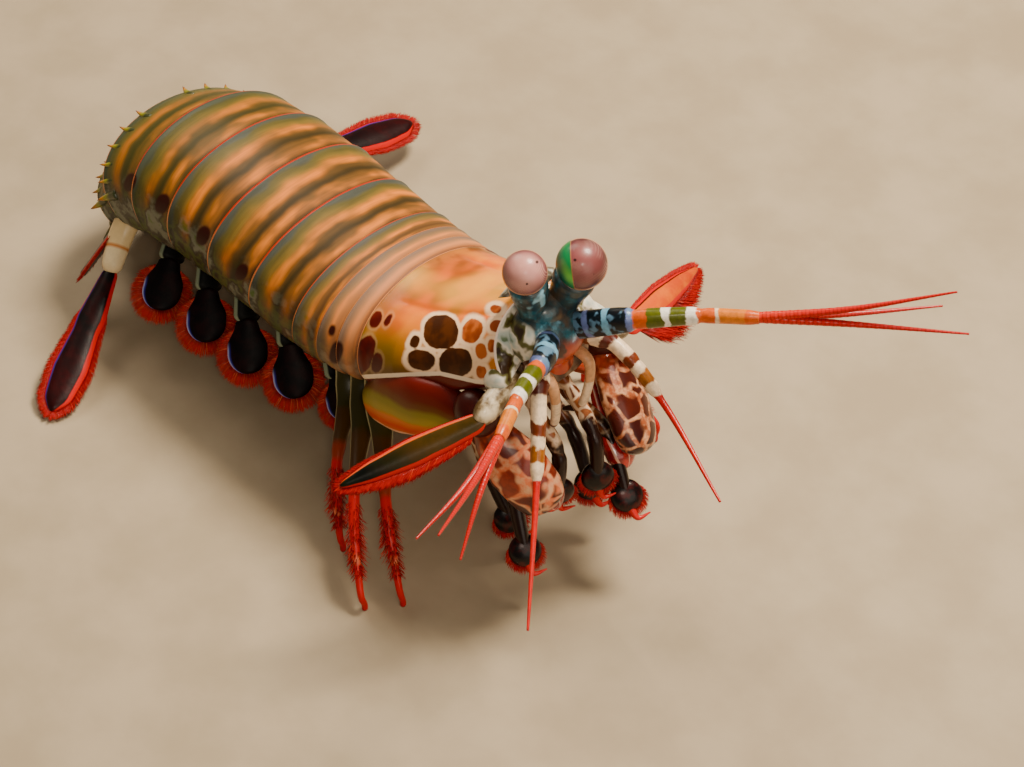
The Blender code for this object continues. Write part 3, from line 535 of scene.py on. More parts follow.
# %% Colours
CREAM = paint(236, 206, 170)
BROWN = paint(84, 26, 8)
SKY = paint(110, 166, 196)
RED = paint(190, 10, 4)
BLACK = paint(10, 4, 6)
WHITE = paint(236, 228, 212)

# %% [markdown]
# ## Trunk
# Nine arched plates follow the curved body axis from the thorax to the tail. Each plate's rear edge
# stands over the front of the next one, as roof tiles do. A cross-section is the same outline each
# time, an arched back, upright flanks and a hollow belly, scaled by the plate's own sizes.

# %% The body axis
AXIS_HEIGHT = 26.5  # of the body axis over the floor, at the rear edge of abdomen_1
SEGMENTS = {  # length, pitch, yaw, half width, height above the axis, flank below it
    "thorax_6": (3.0, 13.0, 3.5, 15.0, 9.6, 2.6),
    "thorax_7": (4.0, 8.0, 3.0, 15.3, 9.7, 3.0),
    "thorax_8": (5.0, 3.0, 2.0, 15.6, 9.8, 3.4),
    "abdomen_1": (9.7, -2.0, 1.8, 15.8, 10.0, 3.8),
    "abdomen_2": (9.4, -3.5, 1.5, 15.9, 10.2, 4.2),
    "abdomen_3": (9.7, 3.0, 1.0, 15.9, 10.5, 4.6),
    "abdomen_4": (9.0, 10.0, 0.5, 15.8, 10.7, 5.0),
    "abdomen_5": (9.2, 26.0, -1.0, 15.4, 10.4, 5.0),
    "abdomen_6": (7.6, 50.0, -1.0, 14.2, 8.4, 3.6),
}
BELLY_RISE = 1.2
CARAPACE_LENGTH = 27.6
CARAPACE_PITCH = (19.0, 39.0)
CARAPACE_YAW = 2.5
TELSON_PITCH = 63.0

NAMES = list(SEGMENTS)
ANCHOR = NAMES.index("abdomen_1")
forward = basis(*np.array([SEGMENTS[name][1:3] for name in NAMES]).T)[:, 0]
steps = forward * np.array([SEGMENTS[name][0] for name in NAMES])[:, None]
REARS = np.array((0.0, 0.0, AXIS_HEIGHT)) - np.cumsum(steps, axis=0) + steps[: ANCHOR + 1].sum(axis=0)
FRONTS = REARS + steps
PITCHES = [CARAPACE_PITCH[0], *(SEGMENTS[name][1] for name in NAMES), TELSON_PITCH]
YAWS = [CARAPACE_YAW, *(SEGMENTS[name][2] for name in NAMES), SEGMENTS["abdomen_6"][2]]
print("body axis from", np.round(FRONTS[0], 1), "to", np.round(REARS[-1], 1))

# %% The outline of a cross-section
ARCH = 60  # points over the back


def outline(columns, soft=2.0):
    """Weights for the outline of a body section, one row for each column of the grid, and how far
    round it each column is from the middle of the back, in millimetres, below 0 to the right.

    A point is (across * half_width, back * height + flank * depth + rise * belly_rise). The back is
    a sine across and a cosine upwards, the flank drops straight down and the belly runs level.
    """
    angle = np.radians(np.linspace(-90.0, 90.0, ARCH))
    back = np.stack([np.sin(angle), np.cos(angle) ** 0.9, 0 * angle, 0 * angle], axis=1)
    flank = np.array([(0.99, 0, -0.5, 0), (0.955, 0, -1, 0), (0.87, 0, -1, 0), (0.7, 0, -1, 1),
                      (0.0, 0, -1, 1)], float)
    other = flank[:-1][::-1] * (-1, 1, 1, 1)
    weights = np.vstack([back, flank, other, back[:1]])
    typical = weights @ np.array([(15.8, 0), (0, 10), (0, 4), (0, BELLY_RISE)])
    length = lengths(typical)
    wanted = np.linspace(0.0, length[-1], columns, endpoint=False)
    even = np.stack([np.interp(wanted, length, weights[:, k]) for k in range(4)], axis=1)
    kernel = np.exp(-0.5 * (np.arange(-6, 7) / soft) ** 2)
    kernel /= kernel.sum()
    even = sum(np.roll(even, shift, axis=0) * k for shift, k in zip(range(-6, 7), kernel))
    middle, whole = np.interp(0.0, np.degrees(angle), length[:ARCH]), length[-1]
    return even, (wanted - middle + whole / 2) % whole - whole / 2


def body_grid(centres, axes, half_width, height, flank, weights, belly_rise=BELLY_RISE):
    """The grid of a body part: each row is the outline, scaled and set on its section."""
    across = weights[:, 0] * half_width[:, None]
    upward = (weights[:, 1] * height[:, None] + weights[:, 2] * flank[:, None]
              + weights[:, 3] * belly_rise)
    return (centres[:, None] + across[..., None] * axes[:, None, 1]
            + upward[..., None] * axes[:, None, 2])

# %% Plates of the trunk
PLATE_ROWS, PLATE_COLUMNS = 46, 260
PLATE_OVERLAP = 1.1  # how far a plate's rear edge stands over the next plate
OVERLAP_SIDE, OVERLAP_FADE = 24.0, 2.0  # where the overlap ends, from the middle of the back
weights, side_mm = outline(PLATE_COLUMNS)
on_back = np.clip(1.0 - np.maximum(np.abs(side_mm) - OVERLAP_SIDE, 0.0) / OVERLAP_FADE, 0.0, 1.0)


def tergite(number):
    """One plate: wider in its middle, with a raised rim behind that slides over the next."""
    name = NAMES[number]
    length, _, _, half_width, height, flank = SEGMENTS[name]
    t = shares(PLATE_ROWS)
    turn, swing = (np.interp(t, (0.0, 0.5, 1.0), ((before + own) / 2, own, (own + after) / 2))
                   for before, own, after in (PITCHES[number : number + 3], YAWS[number : number + 3]))
    axes = basis(turn, swing)
    centres = FRONTS[number] + (REARS[number] - FRONTS[number]) * t[:, None]
    size = np.interp(t, (0.0, 0.2, 0.8, 0.93, 0.965, 1.0), (0.955, 0.975, 0.995, 1.0, 1.012, 1.004))
    corner = 1.0 - 0.22 * np.abs(2 * t - 1.0) ** 3
    grid = body_grid(centres, axes, half_width * size, height * size, flank * corner, weights)
    slide = (np.clip((t - 0.55) / 0.45, 0.0, 1.0) ** 2)[:, None] * on_back * PLATE_OVERLAP
    return grid - slide[..., None] * axes[:, None, 0], t


def rim_rows(grid, size=0.94):
    """Adds a row inside each end, so that the edge of a plate is thin and rounded."""
    ends = [grid[k] + (grid[k].mean(axis=0) - grid[k]) * (1 - size) for k in (0, -1)]
    return np.concatenate([ends[0][None], grid, ends[1][None]])

# %% Finish of the plates
def tergite_finish():
    """Soft bands across each plate, drawn out round the body, with painted shadow at its front under the
    rim of the plate before, dark patched flanks, a rear line.
    """
    tree = Finish("tergite", 0.42, 0.06, 0.3, 0.18)
    across, side, body = tree["along"], tree["side"], tree["body"]
    outward, patchy = abs(side), tree.noise(250.0, 4.0)

    def drawn_out(round_it, onward, detail=2.0):
        way = tree.made("CombineXYZ", side * round_it, across * onward, body * 37.0)
        return tree.noise(1.0, detail, way)

    band = across + (drawn_out(3.2, 1.2) * 0.24 - 0.12)
    # The dark stops at 0 and 0.12, at the front of each plate, are painted shadow under the rim of the
    # plate before.
    bands = tree.ramp(band, (0.0, paint(40, 28, 12)), (0.12, paint(72, 50, 22)),
                      (0.24, paint(134, 82, 34)), (0.36, paint(100, 68, 28)),
                      (0.47, paint(54, 42, 18)), (0.58, paint(84, 60, 26)), (0.69, paint(146, 90, 34)),
                      (0.79, paint(112, 90, 36)), (0.88, paint(84, 76, 36)), (0.95, paint(66, 70, 62)))
    warm = tree.ramp(band, (0.12, BLACK), (0.26, WHITE), (0.44, BLACK), (0.54, BLACK), (0.68, WHITE),
                     (0.83, BLACK))
    thorax = tree.span(body, 0.0, 0.32, 1.0, 0.0)
    pink = tree.ramp(band, (0.1, paint(130, 80, 48)), (0.6, paint(216, 136, 80)),
                     (0.95, paint(136, 104, 84)))
    flank = tree.ramp(patchy, (0.36, paint(26, 24, 18)), (0.45, paint(66, 80, 26)),
                      (0.52, paint(40, 38, 26)), (0.62, paint(110, 112, 94)), (0.72, paint(74, 98, 30)))
    low = tree.span(outward + (patchy * 0.36 - 0.18), 0.62, 0.86) * tree.span(body, 0.0, 0.6, 0.45, 1.0)
    pale_line = tree.maths("MAXIMUM", thorax, tree.span(outward, 0.5, 0.75))
    line_colour = tree.mix(pale_line, paint(176, 40, 2), paint(216, 130, 66))
    return tree.shell(tree.coats(
        bands,
        (tree.span(drawn_out(3.4, 2.4), 0.4, 0.64) * warm, paint(230, 126, 24)),
        (tree.span(drawn_out(4.0, 22.0, 3.0), 0.42, 0.66) * 0.2, paint(44, 34, 18)),
        (thorax * 0.8, pink),
        (tree.span(body, 0.55, 1.0) * 0.5, paint(62, 70, 10)),
        (low, flank),
        (tree.span(tree["spot"] + patchy * 2.0, -0.6, 2.0, 1.0, 0.0), paint(50, 8, 2)),
        (tree.span(across, 0.975, 0.981), line_colour),
        (tree.span(across, 1.0, 1.01), paint(40, 20, 10)),
        (tree.span(outward, 1.06, 1.15), paint(50, 34, 22)),
    ), 0.08, 0.42)


def spine_finish():
    """Yellow-green spines with a brown-orange tip."""
    tree = Finish("spine", 0.4, 0.2)
    return tree.shell(tree.ramp(tree["along"], (0.3, paint(40, 50, 4)), (0.6, paint(134, 130, 4)),
                                (0.8, paint(170, 110, 8)), (0.97, paint(100, 24, 2))), 0.05, 0.4)


SPOT_POWER = 2.35  # 2 is an ellipse, and more makes its corners fuller


def ellipse_field(points, spots):
    """How far points lie outside the nearest ellipse seen in the picture, in pixels.

    An ellipse is its middle (across, down), its half sizes and the tilt of its first axis in
    degrees. The distance is the offset in the ellipse's own axes, each over its half size, less
    one, times the smaller half size. Inside an ellipse it is below 0.
    """
    spots = np.asarray(spots, float)
    offset = in_picture(points)[..., None, :] - spots[:, :2]
    tilt = np.radians(spots[:, 4])
    u = offset[..., 0] * np.cos(tilt) + offset[..., 1] * np.sin(tilt)
    v = offset[..., 1] * np.cos(tilt) - offset[..., 0] * np.sin(tilt)
    ratio = (np.abs(u / spots[:, 2]) ** SPOT_POWER + np.abs(v / spots[:, 3]) ** SPOT_POWER)
    ratio = ratio ** (1.0 / SPOT_POWER)
    return ((ratio - 1.0) * spots[:, 2:4].min(axis=1)).min(axis=-1)


def both_sides(values, lower=0.0):
    """Copies what was worked out on a plate's right side to its left, as the animal is alike.

    lower, in millimetres, is how much lower the markings lie on the left side.
    """
    right = side_mm <= 0
    order = np.argsort(-side_mm[right])
    known = -side_mm[right][order]
    places = np.abs(side_mm) - np.where(right, 0.0, lower)
    return np.array([np.interp(places, known, row[right][order]) for row in values])


FLANK_EDGE = 24.5  # from the middle of the back down to a plate's lower edge, along the shell
TRUNK_SPOTS = [(130, 182, 6, 10, 20), (162, 204, 7, 11, 20), (203, 236, 7, 11, 20),
               (242, 272, 6, 9, 20), (336, 353, 6.5, 12, 15), (332, 330, 3.5, 6, 15)]

# %% Build the trunk
SPINE_ANGLES = {"abdomen_5": (16, 30, 44, 58, 71, 84), "abdomen_6": (10, 24, 38, 52, 66, 80)}
SPINE_LENGTH, CORNER_SPINE_LENGTH, CORNER_ANGLE = 1.05, 1.5, 75
tergite_material, spine_material = tergite_finish(), spine_finish()
for number, name in enumerate(NAMES):
    grid, t = tergite(number)
    rows = np.r_[-0.03, t, 1.03][:, None]
    grid = rim_rows(grid)
    piece(f"{name}_plate", [grid], tergite_material, (name,), {
        "along": [rows], "side": [(side_mm / FLANK_EDGE)[None]],
        "spot": [both_sides(ellipse_field(grid, TRUNK_SPOTS))],
        "body": [np.full((1, 1), number / (len(NAMES) - 1))]})
    teeth = []
    for angle in SPINE_ANGLES.get(name, ()):
        pitch, yaw, half_width, height = SEGMENTS[name][1:5]
        axes = basis((pitch + PITCHES[number + 2]) / 2, yaw)
        for turn in (math.radians(angle), -math.radians(angle)):
            out = axes[1] * math.sin(turn) * half_width + axes[2] * math.cos(turn) * height
            way = unit(axes[1] * math.sin(turn) + axes[2] * math.cos(turn))
            root = REARS[number] + out
            tall = CORNER_SPINE_LENGTH if angle > CORNER_ANGLE else SPINE_LENGTH
            path = smooth_path([root + axes[0] * 2.0 - way * 1.1, root - axes[0] * 0.4 + way * 0.1,
                                root + way * tall - axes[0] * (tall + 0.3)], 12)
            size = 0.95 * tall * np.linspace(1.0, 0.002, 12) ** 0.8
            teeth.append(tube(path, size, size * 0.8, axes[1], 12))
    if teeth:
        piece(f"{name}_spines", teeth, spine_material, (),
              {"along": [along(tooth) for tooth in teeth]})
print("trunk pieces:", len(PIECES))

# %% [markdown]
# ## Carapace
# The shield covers the head end and the striking claws' roots. It is smooth, with two shallow
# grooves along it. Dark brown spots stand in a cream net along its sides. The spots are placed in
# the picture, each as an ellipse, and are found again on the shield by looking through the
# camera. The left side copies the right one, a little lower.

# %% The carapace's form
CARAPACE_HALF_WIDTH = (14.6, 9.6)
CARAPACE_HEIGHT = (9.5, 8.4)
CARAPACE_FLANK = (2.2, 1.4, 0.8)
SHIELD_ROWS = 150
SHIELD_STEPS = 9  # directions that the shield's axis is bent through
GROOVE_SIDE = 7.4  # of the two grooves from the middle of the back
GROOVE_DEPTH = 0.28


def shield_axis(count):
    """Centres and directions along the carapace, from its rear to its front."""
    t = shares(SHIELD_STEPS)
    pitch = CARAPACE_PITCH[0] + (CARAPACE_PITCH[1] - CARAPACE_PITCH[0]) * t
    yaw = np.full(SHIELD_STEPS, CARAPACE_YAW)
    first = ((SEGMENTS["thorax_6"][1] + pitch[0]) / 2, (SEGMENTS["thorax_6"][2] + yaw[0]) / 2)
    steps = np.vstack([basis(*first)[None, 0], basis(pitch, yaw)[1:-1, 0]])
    centres = FRONTS[0] + np.vstack([np.zeros(3), np.cumsum(steps, axis=0)
                                     * CARAPACE_LENGTH / (SHIELD_STEPS - 1)])
    fine = shares(count)
    turn = np.interp(fine, (0.0, 0.06, 1.0), (first[0], pitch[0] + 1.0, pitch[-1]))
    swing = np.interp(fine, (0.0, 0.125, 1.0), (first[1], yaw[0], yaw[0]))
    return fine, smooth_path(centres, count), basis(turn, swing)


def shield_grid():
    """The shield: widest behind, narrower in front, with a rolled rim and two grooves."""
    t, centres, axes = shield_axis(SHIELD_ROWS)
    width = np.interp(t, (0.0, 0.3, 1.0), (CARAPACE_HALF_WIDTH[0], 14.2, CARAPACE_HALF_WIDTH[1]))
    height = np.interp(t, (0.0, 1.0), CARAPACE_HEIGHT)
    flank = np.interp(t, (0.0, 0.4, 1.0), CARAPACE_FLANK)
    size = np.interp(t, (0.0, 0.02, 0.05, 0.08, 0.9, 0.97, 1.0),
                     (0.985, 1.0, 1.0, 0.99, 1.0, 0.975, 0.95))
    size = soften(size, 1.0)
    grid = body_grid(centres, axes, width * size, height * size, flank, weights)
    middle = centres[:, None] - axes[:, None, 2] * 2.0
    out = unit(grid - middle)
    reach = np.abs(side_mm) / GROOVE_SIDE
    groove = np.exp(-0.5 * ((reach - 1.0) * GROOVE_SIDE / 0.55) ** 2)
    groove = groove * (np.clip((t - 0.1) / 0.1, 0, 1) * np.clip((0.98 - t) / 0.1, 0, 1))[:, None]
    keel = np.exp(-0.5 * (side_mm / 0.8) ** 2) * np.clip((t - 0.6) / 0.3, 0, 1)[:, None] * 0.25
    return grid + out * (keel - groove * GROOVE_DEPTH)[..., None], t

# %% The carapace's markings
def marble(tree):
    """White and light grey-green clouds on olive and brown."""
    return tree.ramp(tree.noise(330.0, 2.0), (0.36, paint(50, 30, 8)), (0.44, paint(96, 92, 44)),
                     (0.51, paint(236, 226, 206)), (0.62, paint(190, 200, 190)),
                     (0.72, paint(110, 130, 100)))


DARK_SPOTS = [(441, 332, 17, 17, 0), (455.5, 362.5, 16.5, 14.5, 0), (421, 360, 13.5, 10, 12),
              (414.5, 342, 4.5, 6.5, 20)]
REAR_SPOTS = [(365, 354, 8.5, 19, 14), (377, 363, 5.5, 10, 8), (376, 319.5, 5, 9, 22),
              (388, 320, 3, 6, 30)]
WARM_SPOTS = [(472, 331, 9.5, 12.5, 25), (496.5, 326, 6.5, 6, 0),
              (496, 309, 5.5, 4, 0), (481, 351, 5.5, 8, -10), (492, 346, 4.5, 6, 0),
              (481, 372, 5, 6, 0)]
SHIELD_RIM = ((338, 367), (354, 378), (400, 375.5), (440, 374), (475, 382), (512, 386))


def rim_field(points):
    """How far points lie below the shield's pale rim as seen in the picture, in pixels."""
    seen = in_picture(points)
    across, down = zip(*SHIELD_RIM)
    return seen[..., 1] - np.interp(seen[..., 0], across, down)


def shield_finish():
    """Orange back with painted yellow highlights, a cream net round the side's spots, a white lower rim
    with painted shade below it and a pale rear line.
    """
    tree = Finish("shield", 0.36, 0.12, 0.2, 0.18)
    along_it, side = tree["along"], abs(tree["side"])
    cloud, wide = tree.noise(110.0, 2.0), tree.noise(60.0, 1.0)
    back = tree.ramp(cloud, (0.34, paint(160, 74, 0)), (0.46, paint(222, 94, 0)),
                     (0.58, paint(240, 128, 0)), (0.7, paint(206, 88, 0)))
    rear = tree.ramp(tree.noise(180.0, 3.0), (0.35, paint(74, 58, 26)), (0.5, paint(150, 92, 38)),
                     (0.65, paint(110, 88, 44)))
    ahead = along_it + (cloud * 0.3 - 0.15)
    olive = tree.mix(tree.span(ahead, 0.25, 0.5), paint(126, 92, 4), paint(186, 110, 10))
    low = tree.span(side + (wide * 0.3 - 0.15), 0.4, 0.62)
    # Yellow patches near the top of the back: a painted highlight.
    painted_highlight = tree.span(wide, 0.5, 0.66) * tree.span(side, 0.1, 0.5, 1.0, 0.0)
    colour = tree.coats(
        back, (tree.span(ahead, -0.05, 0.3, 1.0, 0.0), rear), (low, olive),
        (painted_highlight * 0.5, paint(255, 190, 60)),
        (tree.span(tree["rim"], -14.0, -4.0, 0.0, 0.75) * low, paint(90, 56, 10)))
    rough = tree.around(700.0, 2.0, 1.5)
    for name, dark, middle, near, far in (
            ("rear", paint(70, 6, 0), paint(90, 16, 2), 0.5, 3.0),
            ("warm", paint(134, 56, 12), paint(180, 90, 30), 2.2, 5.8),
            ("dark", paint(56, 24, 1), paint(80, 38, 4), 2.2, 5.2)):
        reach = tree[name] + rough
        halo = tree.span(reach, near, far, 0.15 if name == "rear" else 1.0, 0.0)
        tint = tree.mix(tree.clouds(420.0, 2.0, 0.4, 0.64), dark, middle)
        colour = tree.coats(colour, (halo, paint(246, 206, 164)),
                            (tree.span(reach, -0.6, 0.8, 1.0, 0.0), tint))
    rim = tree["rim"] + rough * 0.3
    return tree.shell(tree.coats(
        colour,
        (tree.span(rim, -3.2, -2.2), paint(250, 226, 196)),
        # Below the pale rim, dark red-brown that copies the claw arm's shaded top as the camera sees it:
        # painted shade.
        (tree.span(rim, 1.0, 2.0), paint(100, 16, 0)),
        (tree.span(side, 1.03, 1.07), paint(60, 30, 16)),
        (tree.span(along_it, 0.986, 0.992), paint(250, 226, 206)),
        (tree.span(along_it, 1.0, 1.01), marble(tree)),
        (tree.span(along_it, 0.01, 0.018, 1.0, 0.0), paint(226, 140, 84)),
    ), 0.06, 0.32)

# %% Build the carapace
grid, t = shield_grid()
rows = np.r_[0.0, t, 1.03][:, None]
grid = rim_rows(grid)
shield_material = shield_finish()
shield_fields = {"along": [rows], "side": [(side_mm / FLANK_EDGE)[None]],
                 "rim": [both_sides(rim_field(grid))]}
for key, spots in (("dark", DARK_SPOTS), ("warm", WARM_SPOTS), ("rear", REAR_SPOTS)):
    shield_fields[key] = [both_sides(ellipse_field(grid, spots), 3.0)]
piece("carapace_shell", [grid], shield_material, ("carapace",), shield_fields)

# %% [markdown]
# ## Underside of the front
# Below the shield the soft body narrows to a keel that carries the claws. Little of it shows, so it
# is one rounded form with the texture of skin.

# %% Chest
CHEST_HALF_WIDTH = (8.4, 6.0)
CHEST_DEPTH = (6.4, 5.0)
CHEST_CORNER = 0.7  # under 1 makes the oval fuller at its corners
GAP = 0.3


def chest_grid():
    """A half oval under the shield: width * cos and depth * sin of the angle, flat on top."""
    t, centres, axes = shield_axis(40)
    flank = np.interp(t, (0.0, 0.4, 1.0), CARAPACE_FLANK)
    width = np.interp(t, (0.0, 1.0), CHEST_HALF_WIDTH)[:, None]
    depth = np.interp(t, (0.0, 1.0), CHEST_DEPTH)[:, None]
    angle = angles(64)
    across = fuller(np.cos(angle), CHEST_CORNER)
    down = np.minimum(fuller(np.sin(angle), CHEST_CORNER), 0.0)
    top = (BELLY_RISE - flank - GAP)[:, None]
    return (centres[:, None] + (across * width)[..., None] * axes[:, None, 1]
            + (down * depth + top)[..., None] * axes[:, None, 2])[1:]


def skin_finish(name, dark, pale, scale=500.0, roughness=0.5, coat=0.1):
    """A leathery or shelly surface with two colours mixed by noise."""
    tree = Finish(name, roughness, coat)
    return tree.shell(tree.mix(tree.clouds(scale, 4.0, 0.38, 0.66), dark, pale), 0.25, roughness)


piece("thorax_front_skin", [chest_grid()],
      skin_finish("underside", paint(70, 44, 30), paint(140, 110, 84)), ("thorax_front",))

# %% [markdown]
# ## Head and eyes
# The head carries two large eyes on stalks. Each cornea is a globe that the band of special facets
# divides; it shows a mauve sheen with fine slanting lines and small dark false pupils. The far eye
# turns its green back half to the viewer. The sheen is coloured by the direction from the globe's
# centre, so that it stays on the eye in every view.

# %% Head and eye forms
MIDLINE = 2.0  # of the head, as the body bends a little to its left
HEAD_CENTRE = np.array((45.6, 2.2, 42.6))
HEAD_HALF_WIDTH, HEAD_HALF_HEIGHT = 6.6, 6.0
EYE_RADIUS = {"right": 3.05, "left": 3.5}
EYE_CENTRE = {"right": np.array((43.7, -1.0, 54.4)), "left": np.array((47.3, 5.95, 54.1))}
EYE_ROOT = {"right": np.array((44.0, 0.4, 46.4)), "left": np.array((45.0, 4.6, 46.2))}
EYE_SEAT = {"right": 1.9, "left": 2.2}


def globe(centre, radii, pitch, rows=32, columns=48):
    """An ellipsoid: its long axis times the sine of the latitude, its girth times the cosine."""
    axes = basis(pitch, CARAPACE_YAW)
    angle = np.radians(np.linspace(-86.0, 86.0, rows))
    path = centre + np.outer(np.sin(angle), axes[0]) * radii[0]
    return tube(path, np.cos(angle) * radii[1], np.cos(angle) * radii[2], axes[1], columns)


def limb_piece(node, ending, grids, material, replace=True, parts=None, mirror=1):
    """A piece of tubes. Each stores how far along, across and on top its points are, and its part.

    mirror -1 turns the sign of across, so that left and right pieces carry the same markings.
    """
    turns = [angles(grid.shape[1])[None] for grid in grids]
    fields = {
        "along": [along(grid) for grid in grids],
        "across": [np.cos(turn) * mirror for turn in turns],
        "top": [np.sin(turn) for turn in turns],
        "part": [np.full((1, 1), float(part)) for part in parts or range(len(grids))],
    }
    return piece(f"{node}_{ending}", grids, material, (node,) if replace else (), fields)


def teal_shell(tree):
    """Dark teal with brown clouds and some light blue patches."""
    teal = tree.ramp(tree.noise(430.0, 3.0), (0.36, paint(30, 36, 36)), (0.5, paint(30, 56, 62)),
                     (0.6, paint(26, 84, 98)), (0.68, paint(64, 130, 150)), (0.76, paint(150, 200, 220)))
    patches = tree.span(tree.noise(330.0, 2.0, roughness=0.4), 0.6, 0.66)
    return tree.coats(teal, (tree.clouds(300.0, 2.0, 0.5, 0.66) * 0.7, paint(92, 66, 40)),
                      (patches, paint(130, 180, 200)))


def face_finish():
    """The face: teal above, orange-brown and dark red at the mouth, marbled white at each side."""
    tree = Finish("face", 0.34, 0.25)
    cloud = tree.noise(300.0, 2.0)
    level, beside = tree["level"] + (cloud * 0.7 - 0.35), abs(tree["beside"]) + (cloud * 0.3 - 0.15)
    mouth = tree.ramp(cloud, (0.36, paint(50, 4, 1)), (0.48, paint(160, 40, 0)),
                      (0.58, paint(176, 60, 2)), (0.68, paint(96, 4, 2)))
    return tree.shell(tree.coats(mouth, (tree.span(level, -0.1, 0.35), teal_shell(tree)),
                                 (tree.span(beside, 0.56, 0.66), marble(tree))), 0.2, 0.34)


stalk_tree = Finish("head_skin", 0.34, 0.25)
stalk_material = stalk_tree.shell(teal_shell(stalk_tree), 0.2, 0.34)
face_grids = [globe(HEAD_CENTRE - (0.6, 0.2, 0.0), (4.6, 6.0, 5.0), 40.0),
              globe(HEAD_CENTRE + (0.2, 0.0, -5.6), (3.2, 3.2, 2.8), 60.0),
              globe(HEAD_CENTRE + (-0.6, 0.2, 3.8), (2.6, 3.6, 2.6), 40.0)]
for sign in SIDES.values():
    cheek = smooth_path([(41.6, MIDLINE + 5.2 * sign, 43.2), (43.8, MIDLINE + 7.9 * sign, 40.0),
                         (46.0, MIDLINE + 9.8 * sign, 37.0)], 40)
    girth = profile(40, (0.0, 1.6), (0.35, 2.7), (0.52, 2.2), (0.75, 2.5), (1.0, 1.5))
    girth = girth * dome(40, 0.2, 0.2)
    face_grids.append(tube(cheek, girth, girth * 0.8, (0.3, 0.2, 1.0), 40))
piece("face_shell", face_grids, face_finish(), ("head",), {
    "level": [(grid[..., 2] - HEAD_CENTRE[2]) / HEAD_HALF_HEIGHT for grid in face_grids],
    "beside": [(grid[..., 1] - MIDLINE) / HEAD_HALF_WIDTH for grid in face_grids],
})

# %% Eyes
PUPILS = {"right": [(537, 262, 1.7), (527, 284, 1.4)], "left": [(575, 260, 1.7), (594, 274, 0.8)]}
# The left cornea's tones are darker than the right one's: painted shade, as that eye is lit from the
# other side.
EYE_TONES = {"right": (paint(100, 48, 54), paint(196, 138, 128)),
             "left": (paint(66, 24, 30), paint(118, 62, 60))}  # at the rim and in the middle


def cornea_finish(side):
    """Mauve with slanting lines; painted shade makes it lighter in the middle and darker towards the
    outline that the camera sees, and a painted highlight runs along that outline. The left one has a
    green back half.
    """
    tree = Finish(f"cornea_{side}", 0.32, 0.14, 0.15, 0.3)
    facing, turned, height = tree["facing"], tree["turned"], tree["height"]
    slant = turned + height * 0.9 + tree.noise(160.0, 2.0) * 0.05
    lines = tree.span(tree.maths("SINE", slant * 130.0), 0.1, 1.0)
    colour = tree.coats(
        # Lighter where the globe faces the camera and darker towards its outline: painted shade.
        tree.mix(tree.span(facing, 0.25, 0.98), *EYE_TONES[side]),
        (lines * (tree.clouds(260.0, 1.0, 0.42, 0.62) * 0.4), paint(236, 190, 170)),
        (tree.clouds(300.0, 2.0, 0.4, 0.7) * 0.3, paint(150, 76, 84)),
        # A thin pale line along the outline that the camera sees: a painted rim highlight.
        (tree.span(facing, 0.16, 0.34, 0.75, 0.0), paint(226, 160, 120)))
    if side == "left":
        seam = turned + height * 0.29
        sheen = tree.ramp(height, (0.08, paint(2, 60, 60)), (0.3, paint(16, 120, 70)),
                          (0.55, paint(100, 186, 70)), (0.75, paint(20, 126, 66)),
                          (0.95, paint(4, 64, 60)))
        sheen = tree.mix(tree.span(seam, -0.36, -0.74) * 0.85, sheen, paint(6, 70, 76))
        colour = tree.coats(colour, (tree.span(seam, -0.18, -0.21), sheen),
                            (tree.span(abs(seam + 0.195), 0.012, 0.03, 0.8, 0.0), paint(170, 110, 70)))
    colour = tree.coats(colour, (tree.span(tree["pupil"], 0.6, 1.2, 0.9, 0.0), paint(24, 8, 8)),
                        (tree.span(tree["along"], 0.02, 0.05, 1.0, 0.0), paint(206, 150, 110)))
    facets = tree.made("TexVoronoi", output="Distance", feature="DISTANCE_TO_EDGE", Scale=9000.0,
                       Vector=tree.place())
    tree.join(tree.made("Bump", Strength=0.1, Distance=0.0001, Height=facets), tree.sockets["Normal"])
    return tree.plain(colour)


def eye(side):
    """A cornea that is a globe cut off where it meets its stalk, and the cup-shaped stalk."""
    centre, root = EYE_CENTRE[side], EYE_ROOT[side]
    axis = unit(centre - root)
    ahead = unit(view_back - (view_back @ axis) * axis)
    beside = np.cross(axis, ahead)
    size, depth = EYE_RADIUS[side], EYE_SEAT[side]
    latitude = np.linspace(-math.asin(depth / size), math.radians(89.0), 72)
    path = centre + np.outer(np.sin(latitude) * size, axis)
    ring = np.cos(latitude) * size
    grid = tube(path, ring, ring, beside, 96)
    out = (grid - centre) / size
    dots = np.array(PUPILS[side])
    reach = np.linalg.norm(in_picture(grid)[..., None, :] - dots[:, :2], axis=-1) / dots[:, 2]
    reach = np.where((out @ view_back > 0.1)[..., None], reach, 9.0).min(axis=-1)
    fields = {"facing": [out @ view_back], "turned": [out @ view_right], "pupil": [reach],
              "height": [out @ axis * 0.5 + 0.5], "along": [along(grid)]}
    piece(f"cornea_{side}_globe", [grid], cornea_finish(side), (f"cornea_{side}",), fields)
    seat = centre - axis * (depth + 0.05)
    path = smooth_path([root, (root + seat) / 2, seat], 48)
    radius = profile(48, (0.0, 2.1), (0.3, 2.2), (0.55, 2.45), (0.8, 2.75), (0.94, 2.7),
                     (0.97, 2.5), (1.0, 2.4), soft=0.02) * (size / EYE_RADIUS["right"]) ** 0.6
    limb_piece(f"eyestalk_{side}", "skin", [tube(path, radius, radius, beside, 64)], stalk_material)


for side in SIDES:
    eye(side)
print("eye radii, millimetres:", EYE_RADIUS)

# %% [markdown]
# ## Small plate over the eyes
# The rostral plate is a thin rounded flap, hinged at the front of the shield. It is a flat oval
# carried along a short path.

